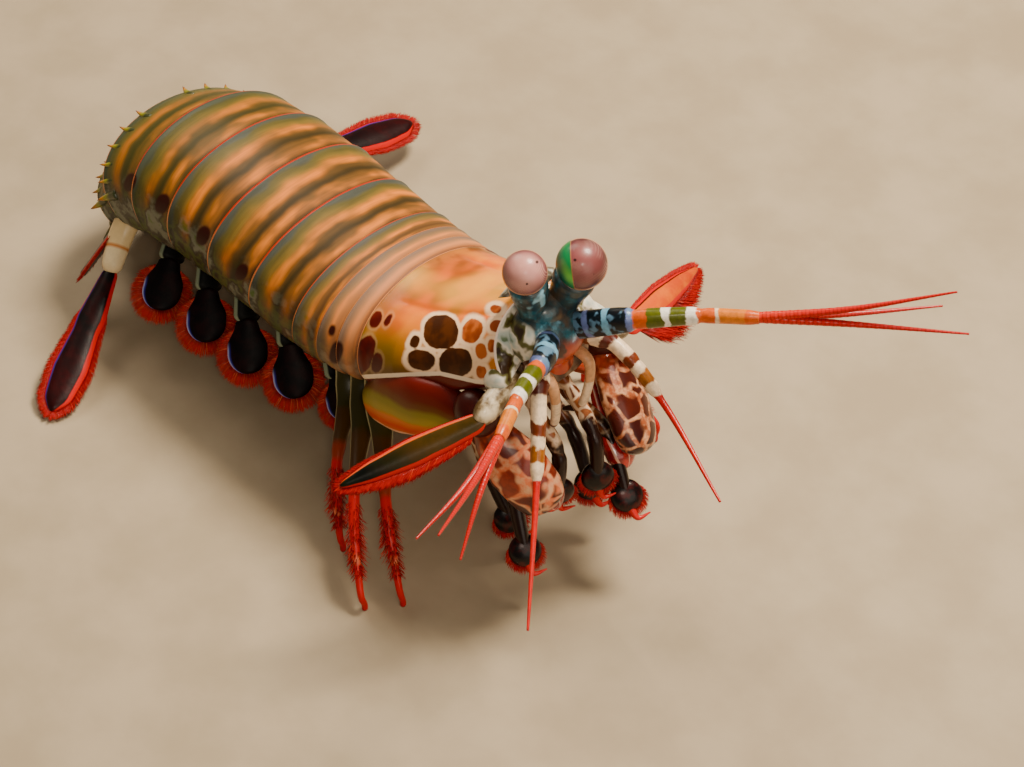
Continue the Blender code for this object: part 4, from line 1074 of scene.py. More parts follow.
# %% Rostral plate
def blade(path, half_width, half_height, normal, columns=56, camber=0.12, edge=0.8):
    """A thin leaf: an oval section that follows the path, square to the normal."""
    tangent = unit(np.gradient(path, axis=0))
    across = np.cross(unit(normal), tangent).mean(axis=0)
    return tube(path, half_width, half_height, across, columns, camber, edge)


root = np.array((39.6, MIDLINE, 48.4))
path = smooth_path([root, root + (2.4, 0.1, 1.5), root + (4.6, 0.2, 2.2)], 40)
width = profile(40, (0.0, 4.6), (0.4, 4.3), (0.8, 2.6), (1.0, 1.0)) * dome(40, 0.0, 0.12)
limb_piece("rostral_plate", "shell", [blade(path, width, 0.5 * dome(40, 0.1, 0.15), (-0.5, 0, 0.85))],
           skin_finish("rostral", paint(70, 60, 40), paint(190, 190, 176), 500.0, 0.34, 0.2))

# %% [markdown]
# ## Feelers
# Each first feeler has three stout ringed joints and three whips. Each second feeler has a banded
# stem and one whip. A limb is an oval carried along a smooth path, with a waist at each joint, and
# its rings of colour follow the share of the way along it.

# %% Finishes in rings
def ringed_finish(name, stops, whip=RED, start=RED, ragged=0.03, mottled=0.2, marbled=0.0):
    """Rings of colour along a limb, with ragged edges. Parts past the first are whips.

    Light blue patches lie over the rings up to the share of the limb that marbled gives.
    """
    tree = Finish(name, 0.36, 0.12, 0.15, 0.3)
    along_it = tree["along"]
    ringed = tree.ramp(along_it + tree.around(500.0, 3.0, ragged), *stops, interpolation="LINEAR")
    colour = tree.coats(ringed, (tree.clouds(1400.0, 3.0, 0.42, 0.62) * mottled, BLACK))
    if marbled:
        patches = tree.clouds(520.0, 2.0, 0.5, 0.6) * 0.65
        patches = patches * tree.span(along_it, marbled - 0.02, marbled, 1.0, 0.0)
        colour = tree.mix(patches, colour, paint(100, 140, 170))
    joint = tree.span(tree.maths("SINE", along_it * 330.0), 0.2, 0.9, 0.0, 0.4)
    whips = tree.coats(start, (tree.span(along_it, 0.0, 0.4), whip), (joint, paint(110, 6, 4)))
    return tree.shell(tree.mix(tree.span(tree["part"], 0.4, 0.6), colour, whips), 0.12, 0.34)


def rings(*bands, edge=0.006):
    """Ramp stops for bands of plain colour, from (where it ends, colour) pairs."""
    stops, start = [], 0.0
    for end, colour in bands:
        stops += [(start, colour), (max(end - edge, start), colour)]
        start = end
    return stops

# %% First feelers
DEEP_TEAL, LILAC = paint(4, 16, 24), paint(96, 110, 160)
GRASS, AMBER, FLAME = paint(80, 86, 0), paint(210, 84, 0), paint(206, 36, 0)
ANTENNULE_RINGS = rings((0.1, DEEP_TEAL), (0.13, LILAC), (0.21, DEEP_TEAL), (0.25, SKY),
                        (0.34, DEEP_TEAL), (0.37, LILAC), (0.43, AMBER), (0.51, GRASS),
                        (0.55, WHITE), (0.63, GRASS), (0.69, WHITE), (0.78, AMBER),
                        (0.8, CREAM), (0.93, paint(216, 116, 0)), (1.0, AMBER))
ANTENNULES = {
    "right": ([(46.6, 0.6, 43.4), (50.6, -3.7, 45.2), (54.2, -11.0, 46.6), (59.0, -19.0, 47.3)],
              [(69.5, -38.0, 52.5), (64.5, -37.5, 47.0), (67.5, -33.0, 42.0)]),
    "left": ([(47.4, 4.4, 43.6), (55.0, 8.8, 47.6), (61.2, 15.0, 48.8), (67.1, 20.0, 49.5)],
             [(86.0, 36.5, 57.5), (89.0, 36.5, 52.0), (82.0, 39.5, 50.0)]),
}
antennule_material = ringed_finish("antennule", ANTENNULE_RINGS, paint(186, 8, 2), FLAME, marbled=0.37)
for side, (joints, tips) in ANTENNULES.items():
    path = smooth_path(joints, 150)
    size = profile(150, (0.0, 2.1), (0.28, 1.95), (0.34, 1.8), (0.365, 1.3), (0.39, 1.45),
                   (0.42, 1.5), (0.62, 1.35), (0.68, 1.3), (0.7, 1.0), (0.74, 1.15), (0.95, 1.1),
                   (1.0, 0.9), soft=0.008)
    grids = [tube(path, size, size * 0.85, (0, 0, 1), 40)]
    end = np.array(joints[-1], float)
    heading = unit(end - np.array(joints[-2]))
    for tip in tips:
        spread = (np.array(tip) - end) * 0.35 + heading * 2.5
        path = smooth_path([end - heading * 1.2, end + spread, tip], 160)
        size = profile(160, (0.0, 0.72), (0.25, 0.58), (0.6, 0.36), (1.0, 0.14))
        size = size * (1.0 + 0.03 * np.cos(np.linspace(0.0, 52 * math.pi, 160)))
        grids.append(tube(path, size, size, (0.1, 0.2, 1.0), 12))
    limb_piece(f"antennule_{side}", "shell", grids, antennule_material)
print("whips on each first feeler:", len(tips))

# %% Second feelers
STEM_RINGS = rings((0.1, paint(110, 50, 16)), (0.16, CREAM), (0.2, BROWN), (0.28, CREAM),
                   (0.33, paint(110, 44, 8)), (0.37, CREAM), (0.425, paint(150, 84, 4)),
                   (0.487, CREAM), (1.0, RED))
ANTENNAE = {
    "right": [(45.0, -0.6, 40.6), (50.6, -4.6, 39.6), (57.8, -11.4, 30.6), (70.5, -24.2, 23.0)],
    "left": [(45.5, 5.4, 41.4), (51.8, 8.4, 40.6), (61.5, 8.7, 36.0), (76.5, 4.8, 31.9)],
}
antenna_material = ringed_finish("antenna", STEM_RINGS)
size = profile(220, (0.0, 1.9), (0.16, 1.6), (0.18, 1.25), (0.2, 1.1), (0.3, 1.12), (0.32, 0.96),
               (0.34, 1.05), (0.45, 0.95), (0.48, 0.6), (0.5, 0.5), (1.0, 0.18), soft=0.006)
for side, joints in ANTENNAE.items():
    stem = tube(smooth_path(joints, 220), size, size, (0, 0, 1), 28)
    limb_piece(f"antenna_{side}", "shell", [stem], antenna_material)

# %% [markdown]
# ## Fringed blades
# The scales of the second feelers, the swimmerets and the tail paddles are thin leaves with a fringe
# of stiff red bristles. The fringe starts on the rim of the leaf's own grid and points outwards from
# it, so it always follows the leaf.

# %% Fringes
BARB_RADIUS = 0.075
BARB_ROOT = 0.35  # how deep a bristle's root is sunk into the rim
BARB_STRAY = 0.07  # how much a bristle's way differs from its neighbours'
BARB_BEND = 0.16  # towards the blade's tip
LAYER_TILT = 0.12  # of the upper and lower row from the middle one


def rim_line(grid, bare):
    """The rim of a blade's grid from the bare root round the tip, and its outward way."""
    rows, columns = grid.shape[:2]
    first = int(bare * rows)
    near, far = grid[first:, 0], grid[first:, columns // 2]
    line = np.vstack([near, far[::-1]])
    step = unit(np.gradient(line, axis=0))
    high = grid[rows // 2, columns // 4] - grid[rows // 2, 3 * columns // 4]
    out = unit(np.cross(step, unit(high)))
    if (out[0] @ (near[0] - far[0])) < 0:
        out = -out
    share = np.linspace(first / rows, 1.0, rows - first)
    places = np.stack([np.r_[np.full(rows - first, 0.96), np.full(rows - first, 0.04)],
                       np.r_[share, share[::-1]]], axis=1)
    return line, out, unit(high), places


def fringe(name, blades, material, count=500, length=2.4, bare=0.12, lean=0.35,
           radius=BARB_RADIUS, taper=0.8, sides=(1.0, 1.0)):
    """Three rows of bristles round each blade. sides lengthens them, from root round to root."""
    draw = np.random.default_rng(sum(map(ord, name)))
    parts = []
    for number, grid in enumerate(blades):
        line, out, high, places = rim_line(grid, bare)
        size = lengths(line)
        share = (np.arange(count) + draw.uniform(0, 1, count)) / count
        root, way, spot = (np.stack([np.interp(share * size[-1], size, column) for column in item.T],
                                    axis=1) for item in (line, out, places))
        tip = unit(grid[-1].mean(axis=0) - grid[0].mean(axis=0))
        layer = np.arange(count) % 3 - 1.0
        way = unit(unit(way) + lean * tip + high * (layer * LAYER_TILT)[:, None]
                   + draw.normal(0, BARB_STRAY, (count, 3)))
        reach = length * (1 - taper * np.abs(2 * share - 1) ** 6) * draw.uniform(0.72, 1.0, count)
        reach = reach * np.interp(share, shares(len(sides)), sides)
        bend = tip * BARB_BEND + draw.normal(0, 0.05, (count, 3))
        spot = spot * (1.0 / len(blades), 0.94) + (number / len(blades), 0.02)
        spot[:, 0] += layer * 0.004
        parts.append((root - way * BARB_ROOT, way, reach, bend, spot))
    root, way, reach, bend, spot = (np.concatenate(items) for items in zip(*parts))
    return bristle_piece(name, root, way, reach, radius, bend, spot, material)


def bristle_finish(name, root_colour, tip_colour, pale, pale_share):
    """Red bristles, darker at the root, with some pale ones among them."""
    tree = Finish(name, 0.45, 0.05, specular=0.25)
    tint = tree["tint"]
    return tree.plain(tree.coats(
        root_colour, (tree.span(tree["reach"], 0.0, 0.7), tip_colour),
        (tree.span(tint, 0.0, 1.0, 0.0, 0.5), paint(90, 2, 4)),
        (tree.span(tint, 1.0 - pale_share, 1.0), pale)))


red_bristle = bristle_finish("red_bristle", paint(110, 2, 2), paint(186, 8, 4), paint(206, 60, 16), 0.08)


def blade_finish(name, middle, tip, rim, line, patch, rim_at=0.9, lined=-1.0):
    """A leaf's colours from its middle to its rim, with a fine line before the rim.

    The line fades out on one side of the leaf, where across times lined is over 0, and the rim is
    broader there.
    """
    tree = Finish(name, 0.4, 0.06, 0.2, 0.18)
    side = tree["across"]
    turned = side * lined
    wander = tree.around(500.0, 3.0, 0.04)
    across = abs(side) + wander + tree.span(turned, 0.0, 0.5, 0.0, 0.18)
    bright = tree.span(turned, -0.2, 0.4, 1.0, 0.0)
    return tree.shell(tree.coats(
        middle, (tree.span(tree["along"] + wander, 0.3, 0.85), tip),
        (tree.clouds(420.0, 3.0, 0.4, 0.68) * 0.4, patch),
        (bright * tree.span(across, rim_at - 0.14, rim_at - 0.05), line),
        (tree.span(across, rim_at - 0.02, rim_at + 0.05), rim)), 0.15, 0.36)

# %% Scales of the second feelers
SCALES = {
    "right": ((45.4, -3.6, 38.4), (47.1, -12.8, 36.1), (39.4, -30.2, 30.0)),
    "left": ((45.4, 8.0, 38.4), (48.2, 14.8, 37.2), (42.4, 33.6, 32.0)),
}
SCALE_NORMAL = (0.55, -0.1, 0.83)
SCALE_BRISTLES = {"right": (0.8, 1.1, 0.6, 0.25, 0.2), "left": (0.4, 0.5, 0.6, 1.8, 3.4)}
scale_material = {
    "right": blade_finish("scale_right", paint(64, 44, 2), paint(2, 4, 1), paint(190, 16, 2), AMBER,
                          paint(12, 26, 1), 0.86, 1.0),
    "left": blade_finish("scale_left", paint(206, 80, 0), paint(180, 56, 0), RED,
                         paint(20, 4, 2), paint(226, 116, 0), 0.8, -1.0),
}
arm_material = skin_finish("scale_arm", paint(84, 60, 20), paint(226, 206, 170), 420.0, 0.34, 0.3)
width = profile(110, (0.0, 1.3), (0.25, 1.8), (0.5, 2.0), (0.8, 1.4), (1.0, 0.4)) * dome(110, 0.08, 0.05)
for side, (root, elbow, tip) in SCALES.items():
    elbow, tip = np.array(elbow), np.array(tip)
    heading = unit(tip - elbow)
    path = np.linspace(elbow - heading * 1.4, tip + heading * 0.3, 110)
    leaf = blade(path, width, 0.5 * dome(110, 0.04, 0.04), SCALE_NORMAL, 64)
    ends = dome(40, 0.1, 0.3)
    arm = tube(smooth_path([root, elbow], 40), 1.9 * ends, 1.7 * ends, (0, 0, 1), 32)
    name = f"antennal_scale_{side}"
    limb_piece(name, "blade", [leaf], scale_material[side])
    limb_piece(name, "arm", [arm], arm_material, replace=False)
    fringe(f"{name}_fringe", [leaf], red_bristle, 2600, 2.5, 0.12, 0.9, taper=0.3,
           sides=SCALE_BRISTLES[side])
print("pieces so far:", len(PIECES))

# %% [markdown]
# ## Striking claws
# The second pair of mouth limbs is folded like a mantis's arm: a thick arm, a short wrist, an oval
# palm and the red finger with its round hammer heel, folded back along the palm. The palm shows
# brown patches in a pale net, made by a shader group that warps cells.

# %% Claw finishes
def claw_arm_finish():
    """Dark red-brown above, partly the arm's own colour and partly painted shade under the shield, an
    olive diagonal, orange below and a pale lower margin.

    The wrist, part 1, is dark all over.
    """
    tree = Finish("claw_arm", 0.38, 0.12, 0.2, 0.2)
    slope = tree.maths("MAXIMUM", tree["along"] * 1.7 - 1.2, -0.45)
    share = (tree["across"] + slope + tree.around(150.0, 2.0, 0.2)) * 0.5 + 0.5
    # The darkest stops, at the top, are partly the arm's own red-brown and partly painted shade under the
    # shield.
    bands = tree.ramp(share, (0.0, paint(236, 180, 140)), (0.05, paint(206, 90, 20)),
                      (0.16, paint(206, 70, 0)), (0.32, paint(206, 104, 0)), (0.44, paint(156, 134, 0)),
                      (0.6, paint(130, 118, 0)), (0.72, paint(104, 56, 4)), (0.84, paint(104, 28, 4)),
                      (1.0, paint(92, 12, 2)))
    return tree.shell(tree.mix(tree["part"], bands, paint(62, 10, 3)), 0.08, 0.38)


def claw_palm_finish(name, ground, patch, edge_colour, scale):
    """Brown patches in a pale net, over a ground that reddens towards the wrist."""
    tree = Finish(name, 0.32, 0.25, 0.12, 0.35)
    made = tree.group(net.tree, Scale=scale, Gap=tree.noise(260.0, 2.0) * 0.3 - 0.1)
    fine, along_it = tree.clouds(900.0, 3.0, 0.35, 0.65), tree["along"]
    tone = tree.coats(patch, (made["Shade"], edge_colour), (fine * 0.4, patch))
    red = tree.mix(tree.clouds(420.0, 2.0, 0.4, 0.6), paint(190, 60, 6), paint(90, 4, 2))
    return tree.shell(tree.coats(
        ground, (fine, paint(206, 150, 110)), (made["Patch"], tone),
        (tree.span(along_it, 0.6, 0.9) * made["Patch"], paint(44, 4, 2)),
        (tree.span(along_it, 0.1, 0.3, 1.0, 0.0) * 0.85, red)), 0.1, 0.3)


def claw_finger_finish():
    """Polished red with fine pale lines along it."""
    tree = Finish("claw_finger", 0.24, 0.5)
    lines = tree.span(tree.maths("SINE", tree["across"] * 9.0), 0.86, 0.97)
    red = tree.mix(tree.clouds(500.0, 3.0, 0.4, 0.65), paint(120, 8, 4), paint(196, 24, 8))
    return tree.shell(tree.mix(lines * 0.6, red, paint(240, 190, 160)), 0.08, 0.24)


arm_finish, finger_finish = claw_arm_finish(), claw_finger_finish()
palm_finish = {
    "right": claw_palm_finish("claw_palm_right", paint(206, 104, 60), paint(66, 10, 2),
                              paint(140, 40, 10), 300.0),
    "left": claw_palm_finish("claw_palm_left", paint(150, 76, 40), paint(46, 6, 1),
                             paint(96, 28, 4), 360.0),
}

# %% Claws
CLAWS = {
    "right": ((43.6, -9.6, 32.6), (55.0, -6.0, 20.2), (0.65, -0.55, 0.5)),
    "left": ((43.4, 13.0, 32.4), (56.6, 9.8, 21.2), (0.75, 0.3, 0.6)),
}
CLAW_ROWS = 110
# each part's half widths and half heights along it, its rounded ends, its columns, and how soft
# the corners of its width are
ARM = ([(0.0, 2.2), (0.25, 2.4), (0.5, 4.8), (0.75, 4.9), (0.9, 4.2), (1.0, 2.4)],
       [(0.0, 2.0), (0.25, 2.2), (0.5, 2.9), (0.75, 2.8), (1.0, 1.8)], (0.03, 0.04), 64, 0.03)
PALM = ([(0.0, 1.8), (0.12, 2.9), (0.45, 4.3), (0.8, 3.9), (0.93, 3.1), (1.0, 2.4)],
        [(0.0, 1.4), (0.12, 2.0), (0.5, 2.5), (0.85, 2.3), (1.0, 1.7)], (0.03, 0.09), 72, 0.03)
FINGER = ([(0.0, 1.8), (0.12, 2.6), (0.28, 2.7), (0.36, 2.2), (0.5, 1.5), (1.0, 0.3)],
          [(0.0, 1.2), (0.12, 1.9), (0.3, 1.9), (0.5, 1.2), (1.0, 0.25)], (0.12, 0.02), 48, 0.015)


def claw_part(points, across, form):
    """A tube along the points, from one of the forms above."""
    wide, high, ends, columns, soft = form
    ends = dome(CLAW_ROWS, *ends)
    return tube(smooth_path(points, CLAW_ROWS), profile(CLAW_ROWS, *wide, soft=soft) * ends,
                profile(CLAW_ROWS, *high) * ends, across, columns)


def claw(side):
    """Arm, wrist, palm and finger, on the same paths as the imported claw."""
    sign = SIDES[side]
    wrist, palm_end, facing = (np.array(value) for value in CLAWS[side])
    facing, rear_y = unit(facing), 0.9 + 12.9 * sign
    heading = unit(palm_end - wrist)
    across = np.cross(heading, facing)
    heel = palm_end - facing * 3.7 - heading * 1.2
    merus = claw_part([(28.5, 1.2 + 4.5 * sign, 23.0), (24.6, rear_y - 3.0 * sign, 20.6),
                       (25.4, rear_y, 22.6), (35.0, rear_y - 0.4 * sign, 29.0),
                       wrist - (1.6, 0.0, 1.2)], (-0.5, 0.0, 0.86), ARM)
    palm = claw_part([wrist + heading * 1.6, (wrist + palm_end) / 2 + facing * 0.8, palm_end],
                     across, PALM)
    finger = claw_part([heel + heading * 3.0, heel, heel - heading * 5.0 - facing * 0.4,
                        heel - heading * 13.5 + facing * 0.2], across, FINGER)
    carpus = globe(wrist + (0, 0, 0.5), (3.6, 3.0, 3.2), -35.0)
    for part, grid, material, slot, number in (
            ("merus", merus, arm_finish, "claw_arm", 0), ("carpus", carpus, arm_finish, "claw_arm", 1),
            ("propodus", palm, palm_finish[side], "claw_palm", 0),
            ("dactyl", finger, finger_finish, "claw_finger", 0)):
        limb_piece(f"raptorial_{part}_{side}", "shell", [grid], material, parts=(number,))


for side in SIDES:
    claw(side)
print("claw parts on each side: 4")

# %% [markdown]
# ## Mouth limbs
# A slender first pair cleans the eyes. The other three pairs, beside the striking claws, end in a
# round dark palm with a comb of red bristles and a small hooked finger.

# %% Mouth limb finishes and forms
def mouth_finish():
    """Marbled white and brown, dark towards the end; the round palm is dark red to black."""
    tree = Finish("mouth_limb", 0.4, 0.08, 0.2, 0.25)
    made, part = tree.group(net.tree, Scale=520.0, Gap=0.06), tree["part"]
    brown = tree.mix(made["Shade"], paint(76, 22, 6), paint(150, 84, 40))
    disc = tree.mix(tree.clouds(600.0, 3.0, 0.45, 0.65), paint(8, 2, 2), paint(60, 5, 4))
    end = tree.span(tree["along"] + tree.around(400.0, 3.0, 0.2), 0.5, 0.62)
    return tree.shell(tree.coats(
        paint(220, 186, 150), (made["Patch"], brown), (end, paint(30, 8, 2)),
        (tree.span(part, 0.4, 0.6), disc), (tree.span(part, 1.4, 1.6), paint(190, 14, 8))), 0.2, 0.3)


MOUTH_LIMBS = {
    "maxilliped_3_left": [(40.5, 4.2, 34.0), (46.0, 5.0, 30.5), (52.4, 4.2, 26.0), (54.4, 3.4, 19.4)],
    "maxilliped_3_right": [(40.5, 0.0, 34.0), (45.6, -1.0, 30.0), (51.0, -1.2, 25.0), (51.6, -1.6, 17.6)],
    "maxilliped_4_left": [(37.0, 5.0, 31.6), (44.0, 7.2, 25.6), (51.0, 8.2, 22.2), (57.2, 6.6, 15.2)],
    "maxilliped_4_right": [(37.0, -1.0, 31.6), (41.0, -3.6, 25.0), (46.4, -5.6, 16.8), (51.6, -7.8, 9.4)],
    "maxilliped_5_left": [(33.0, 4.8, 28.6), (37.0, 7.6, 22.0), (43.6, 8.4, 16.6), (48.6, 7.6, 9.6)],
    "maxilliped_5_right": [(33.0, -1.4, 28.6), (36.2, -4.0, 21.0), (40.4, -4.4, 13.6), (44.2, -4.2, 7.4)],
}
DISC = 2.4
MOUTH_FACING = np.array((0.6, -0.35, 0.72))
mouth_material = mouth_finish()
size = profile(110, (0.0, 1.3), (0.28, 1.2), (0.31, 0.95), (0.34, 1.2), (0.6, 1.35), (0.66, 1.05),
               (0.7, 1.3), (0.9, 1.2), (1.0, 1.0), soft=0.01)
bow = np.sqrt(np.maximum(1.0 - np.linspace(-1.0, 1.0, 48) ** 2, 0.002))
thin = profile(40, (0.0, 0.7), (1.0, 0.1))
for name, points in MOUTH_LIMBS.items():
    path = smooth_path(points, 110)
    end, heading = path[-1], unit(path[-1] - path[-4])
    facing = unit(MOUTH_FACING - (MOUTH_FACING @ heading) * heading)
    side = np.cross(heading, facing)
    palm = tube(end + np.outer(np.linspace(-1.0, 1.0, 48) * DISC, heading), bow * DISC, bow * 1.2,
                side, 48)
    hook = smooth_path([end + heading * DISC * 0.7, end + heading * (DISC + 1.2) - side * 0.6,
                        end + heading * (DISC + 1.0) - side * 2.6], 40)
    grids = [tube(path, size, size * 0.85, MOUTH_FACING, 32), palm, tube(hook, thin, thin, facing, 16)]
    limb_piece(name, "shell", grids, mouth_material)
    fringe(f"{name}_comb", [palm], red_bristle, 260, 1.5, 0.3, 0.5)
print("mouth limbs with a round palm:", len(MOUTH_LIMBS))

# %% The slender first pair
slender_material = ringed_finish("slender_limb", rings((0.5, paint(206, 150, 104)), (0.78, CREAM),
                                                       (0.82, BROWN), (1.0, paint(40, 10, 4))))
size = profile(110, (0.0, 1.0), (0.5, 0.75), (0.85, 0.7), (1.0, 0.35))
for side, sign in SIDES.items():
    mid = 3.4 if side == "left" else 1.0
    path = smooth_path([(43.5, mid + 1.6 * sign, 38.0), (49.6, mid + 2.2 * sign, 37.4),
                        (49.4, mid + 1.4 * sign, 29.6), (46.4, mid + 0.8 * sign, 26.4)], 110)
    limb_piece(f"maxilliped_1_{side}", "shell", [tube(path, size, size * 0.85, (0, 1, 0), 28)],
               slender_material)

# %% [markdown]
# ## Walking legs
# Three pairs of slender legs carry the front of the body. Each has an olive base, red end joints and
# a brush of red bristles, and ends on the floor.

# %% Walking legs
LEG_ROOTS = {6: (19.8, 24.5), 7: (16.2, 23.2), 8: (12.6, 22.4)}
FEET = {"right": {6: (41.7, -22.6), 7: (38.6, -27.2), 8: (27.9, -22.6)},
        "left": {6: (42.6, 27.0), 7: (36.0, 30.6), 8: (26.0, 27.4)}}
LEG_RINGS = rings((0.34, paint(52, 48, 14)), (0.5, paint(70, 44, 12)), (0.58, paint(130, 40, 4)),
                  (0.8, RED), (0.82, paint(226, 120, 80)), (1.0, RED), edge=0.03)
LEG_ROWS, LEG_COLUMNS = 130, 28
LEG_SIZE = profile(LEG_ROWS, (0.0, 1.7), (0.22, 1.6), (0.3, 1.2), (0.42, 1.05), (0.53, 1.0),
                   (0.56, 0.8), (0.6, 0.85), (0.75, 0.75), (0.78, 0.6), (1.0, 0.45), soft=0.01)
LEG_FLATNESS = profile(LEG_ROWS, (0.0, 1.5), (0.3, 1.4), (0.5, 1.0), (1.0, 1.0))
LEG_BRISTLES = 420


def leg_finish():
    """An olive base with pale edges, and red from the knee on."""
    tree = Finish("leg", 0.4, 0.06, 0.2, 0.2)
    rough, along_it = tree.around(400.0, 3.0, 0.03), tree["along"]
    ringed = tree.ramp(along_it + rough, *LEG_RINGS, interpolation="LINEAR")
    edge = tree.span(abs(tree["across"]) + rough, 0.9, 0.97) * tree.span(along_it, 0.42, 0.52, 0.8, 0.0)
    return tree.shell(tree.mix(edge, ringed, paint(190, 180, 130)), 0.12, 0.36)


def walking_leg(number, side):
    """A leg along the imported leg's path, and a brush of bristles round its lower half."""
    sign = SIDES[side]
    x, z = LEG_ROOTS[number]
    foot = np.array((*FEET[side][number], 0.0))
    root = np.array((x, 0.8 + 8.2 * sign, z))
    hip = root + (2.6, 2.6 * sign, -6.6)
    knee = np.array((foot[0] * 0.62 + root[0] * 0.38, foot[1] * 0.72 + root[1] * 0.28, 11.5))
    ankle = np.array((foot[0] * 0.96 + root[0] * 0.04, foot[1], 4.2))
    path = smooth_path([root, hip, knee, ankle, foot + (0.0, 0.0, 1.0), foot], LEG_ROWS)
    grid = tube(path, LEG_SIZE * LEG_FLATNESS, LEG_SIZE / LEG_FLATNESS, (0.6, 1, 0), LEG_COLUMNS)
    grid[..., 2] = np.maximum(grid[..., 2], 0.0)
    name = f"walking_leg_{number - 5}_{side}"
    limb_piece(name, "shell", [grid], leg_material)
    draw = np.random.default_rng(number * 10 + sign)
    share = draw.uniform(0.6, 0.86, LEG_BRISTLES)
    row = (share * (LEG_ROWS - 1)).astype(int)
    column = draw.integers(0, LEG_COLUMNS, LEG_BRISTLES)
    roots = grid[row, column]
    out = unit(roots - path[row])
    heading = unit(path[np.minimum(row + 3, LEG_ROWS - 1)] - path[row])
    ways = unit(out * 0.75 + heading * 0.9 + draw.normal(0, 0.12, (LEG_BRISTLES, 3)))
    sizes = draw.uniform(1.1, 2.3, LEG_BRISTLES) * np.sin((share - 0.56) / 0.34 * math.pi) ** 0.5
    sizes = np.minimum(sizes, np.maximum(roots[:, 2] - 0.3, 0.2) / np.maximum(-ways[:, 2], 0.1))
    places = np.stack([column / LEG_COLUMNS * 0.96 + 0.02, share * 0.94 + 0.02], axis=1)
    bristle_piece(f"{name}_brush", roots - out * 0.15, ways, sizes, 0.07,
                  draw.normal(0, 0.05, (LEG_BRISTLES, 3)), places, red_bristle)


leg_material = leg_finish()
for side in SIDES:
    for number in LEG_ROOTS:
        walking_leg(number, side)
print("walking legs:", len(SIDES) * len(LEG_ROOTS))

# %% [markdown]
# ## Swimmerets
# Five pairs of paddles hang below the abdomen. Each has a short stem and two oval blades that are
# black with a blue and violet sheen near the rim, inside a broad ring of red bristles.

# %% Swimmerets
PLEOPOD_SWEEP = {1: (8.6, 10.0), 2: (8.9, 12.4), 3: (9.7, 14.4), 4: (9.4, 15.1), 5: (7.8, 16.1)}
PLEOPOD_HEIGHT = 11.0
PLEOPOD_ROOT = 6.4
PLEOPOD_BLADES = ((8.6, 3.1, 0.9, 0.0), (6.8, 2.2, -1.5, -0.35))  # length, half width, shift, turn


def swimmeret_finish():
    """Black skin with a blue and white crescent on the rear rim, and pale edges on the stem."""
    tree = Finish("swimmeret", 0.5, 0.0, specular=0.1)
    across = tree["across"]
    violet = tree.mix(tree.span(across, 0.88, 0.98), paint(50, 50, 150), paint(170, 176, 216))
    stem = tree.mix(tree.span(across, 0.8, 0.92), paint(8, 8, 6), paint(130, 140, 116))
    crescent = tree.span(across, 0.78, 0.93) * tree.span(tree["along"], 0.4, 0.6)
    return tree.shell(tree.coats(
        paint(6, 2, 4), (tree.clouds(500.0, 4.0, 0.4, 0.7), paint(26, 4, 6)), (crescent, violet),
        (tree.span(tree["part"], 0.4, 0.6, 1.0, 0.0), stem)), 0.2, 0.5)


swimmeret_material = swimmeret_finish()
swimmeret_bristle = bristle_finish("swimmeret_bristle", paint(130, 4, 4), paint(216, 36, 14),
                                   paint(240, 120, 70), 0.15)


def pleopod(number, side):
    """The stem hangs from the belly. Each blade is wide near its end, and its fringe is dense."""
    sign = SIDES[side]
    index = NAMES.index(f"abdomen_{number}")
    pitch, yaw, _, _, flank = SEGMENTS[f"abdomen_{number}"][1:]
    axes = basis(pitch, yaw)
    middle = (FRONTS[index] + REARS[index]) / 2
    belly = middle - axes[2] * (flank - BELLY_RISE) + axes[1] * PLEOPOD_ROOT * sign
    root, hip = belly + axes[2] * 1.6, belly - axes[2] * 1.2
    ahead, aside = PLEOPOD_SWEEP[number]
    blade_centre = np.array((middle[0] + ahead, aside * sign, PLEOPOD_HEIGHT))
    reach = 0.85 if number == 1 else 1.0
    heading = unit(blade_centre - hip)
    facing = unit((0.5, 0.45 * sign, 0.74))
    knee = blade_centre - heading * 4.5 * reach
    path = smooth_path([root, hip, (hip + knee) / 2, knee], 60)
    girth = profile(60, (0.0, 2.1), (0.5, 1.9), (0.62, 1.6), (0.7, 2.0), (1.0, 2.3), soft=0.015)
    grids = [tube(path, girth * dome(60, 0, 0.1), 1.1 * dome(60, 0, 0.1), (0, 1, 0), 28)]
    for length, width, shift, turn in PLEOPOD_BLADES:
        course = unit(heading + np.array((-0.3, 0.2 * sign, -0.3)) * -turn)
        begin = knee - course * 0.9 + facing * shift
        t = shares(72)
        line = begin + np.outer(t * length * reach, course)
        rim = width * reach * np.interp(t, (0.0, 0.2, 0.45, 1.0), (0.5, 0.62, 1.0, 1.0))
        rim = soften(rim, 3.0) * dome(72, 0.1, width / length)
        grids.append(blade(line, rim, 0.45 * dome(72, 0.06, 0.06), facing, 56))
    name = f"pleopod_{number}_{side}"
    limb_piece(name, "blades", grids, swimmeret_material, mirror=sign)
    fringe(f"{name}_fringe", grids[1:], swimmeret_bristle, 1500, 2.5 * reach, 0.2, 0.12,
           radius=0.06)


for side in SIDES:
    for number in PLEOPOD_SWEEP:
        pleopod(number, side)
print("swimmerets:", len(SIDES) * len(PLEOPOD_SWEEP))

# %% [markdown]
# ## Tail
# The tail plate lies on the floor at its end. It has a keel along its middle and lower keels beside
# it. The tail limbs have a pale base, an inner paddle and a long outer paddle with a bright red
# fringe.

# %% Tail plate
TELSON_LENGTH, TELSON_HALF_WIDTH, TELSON_THICKNESS = 16.5, 12.0, 4.6


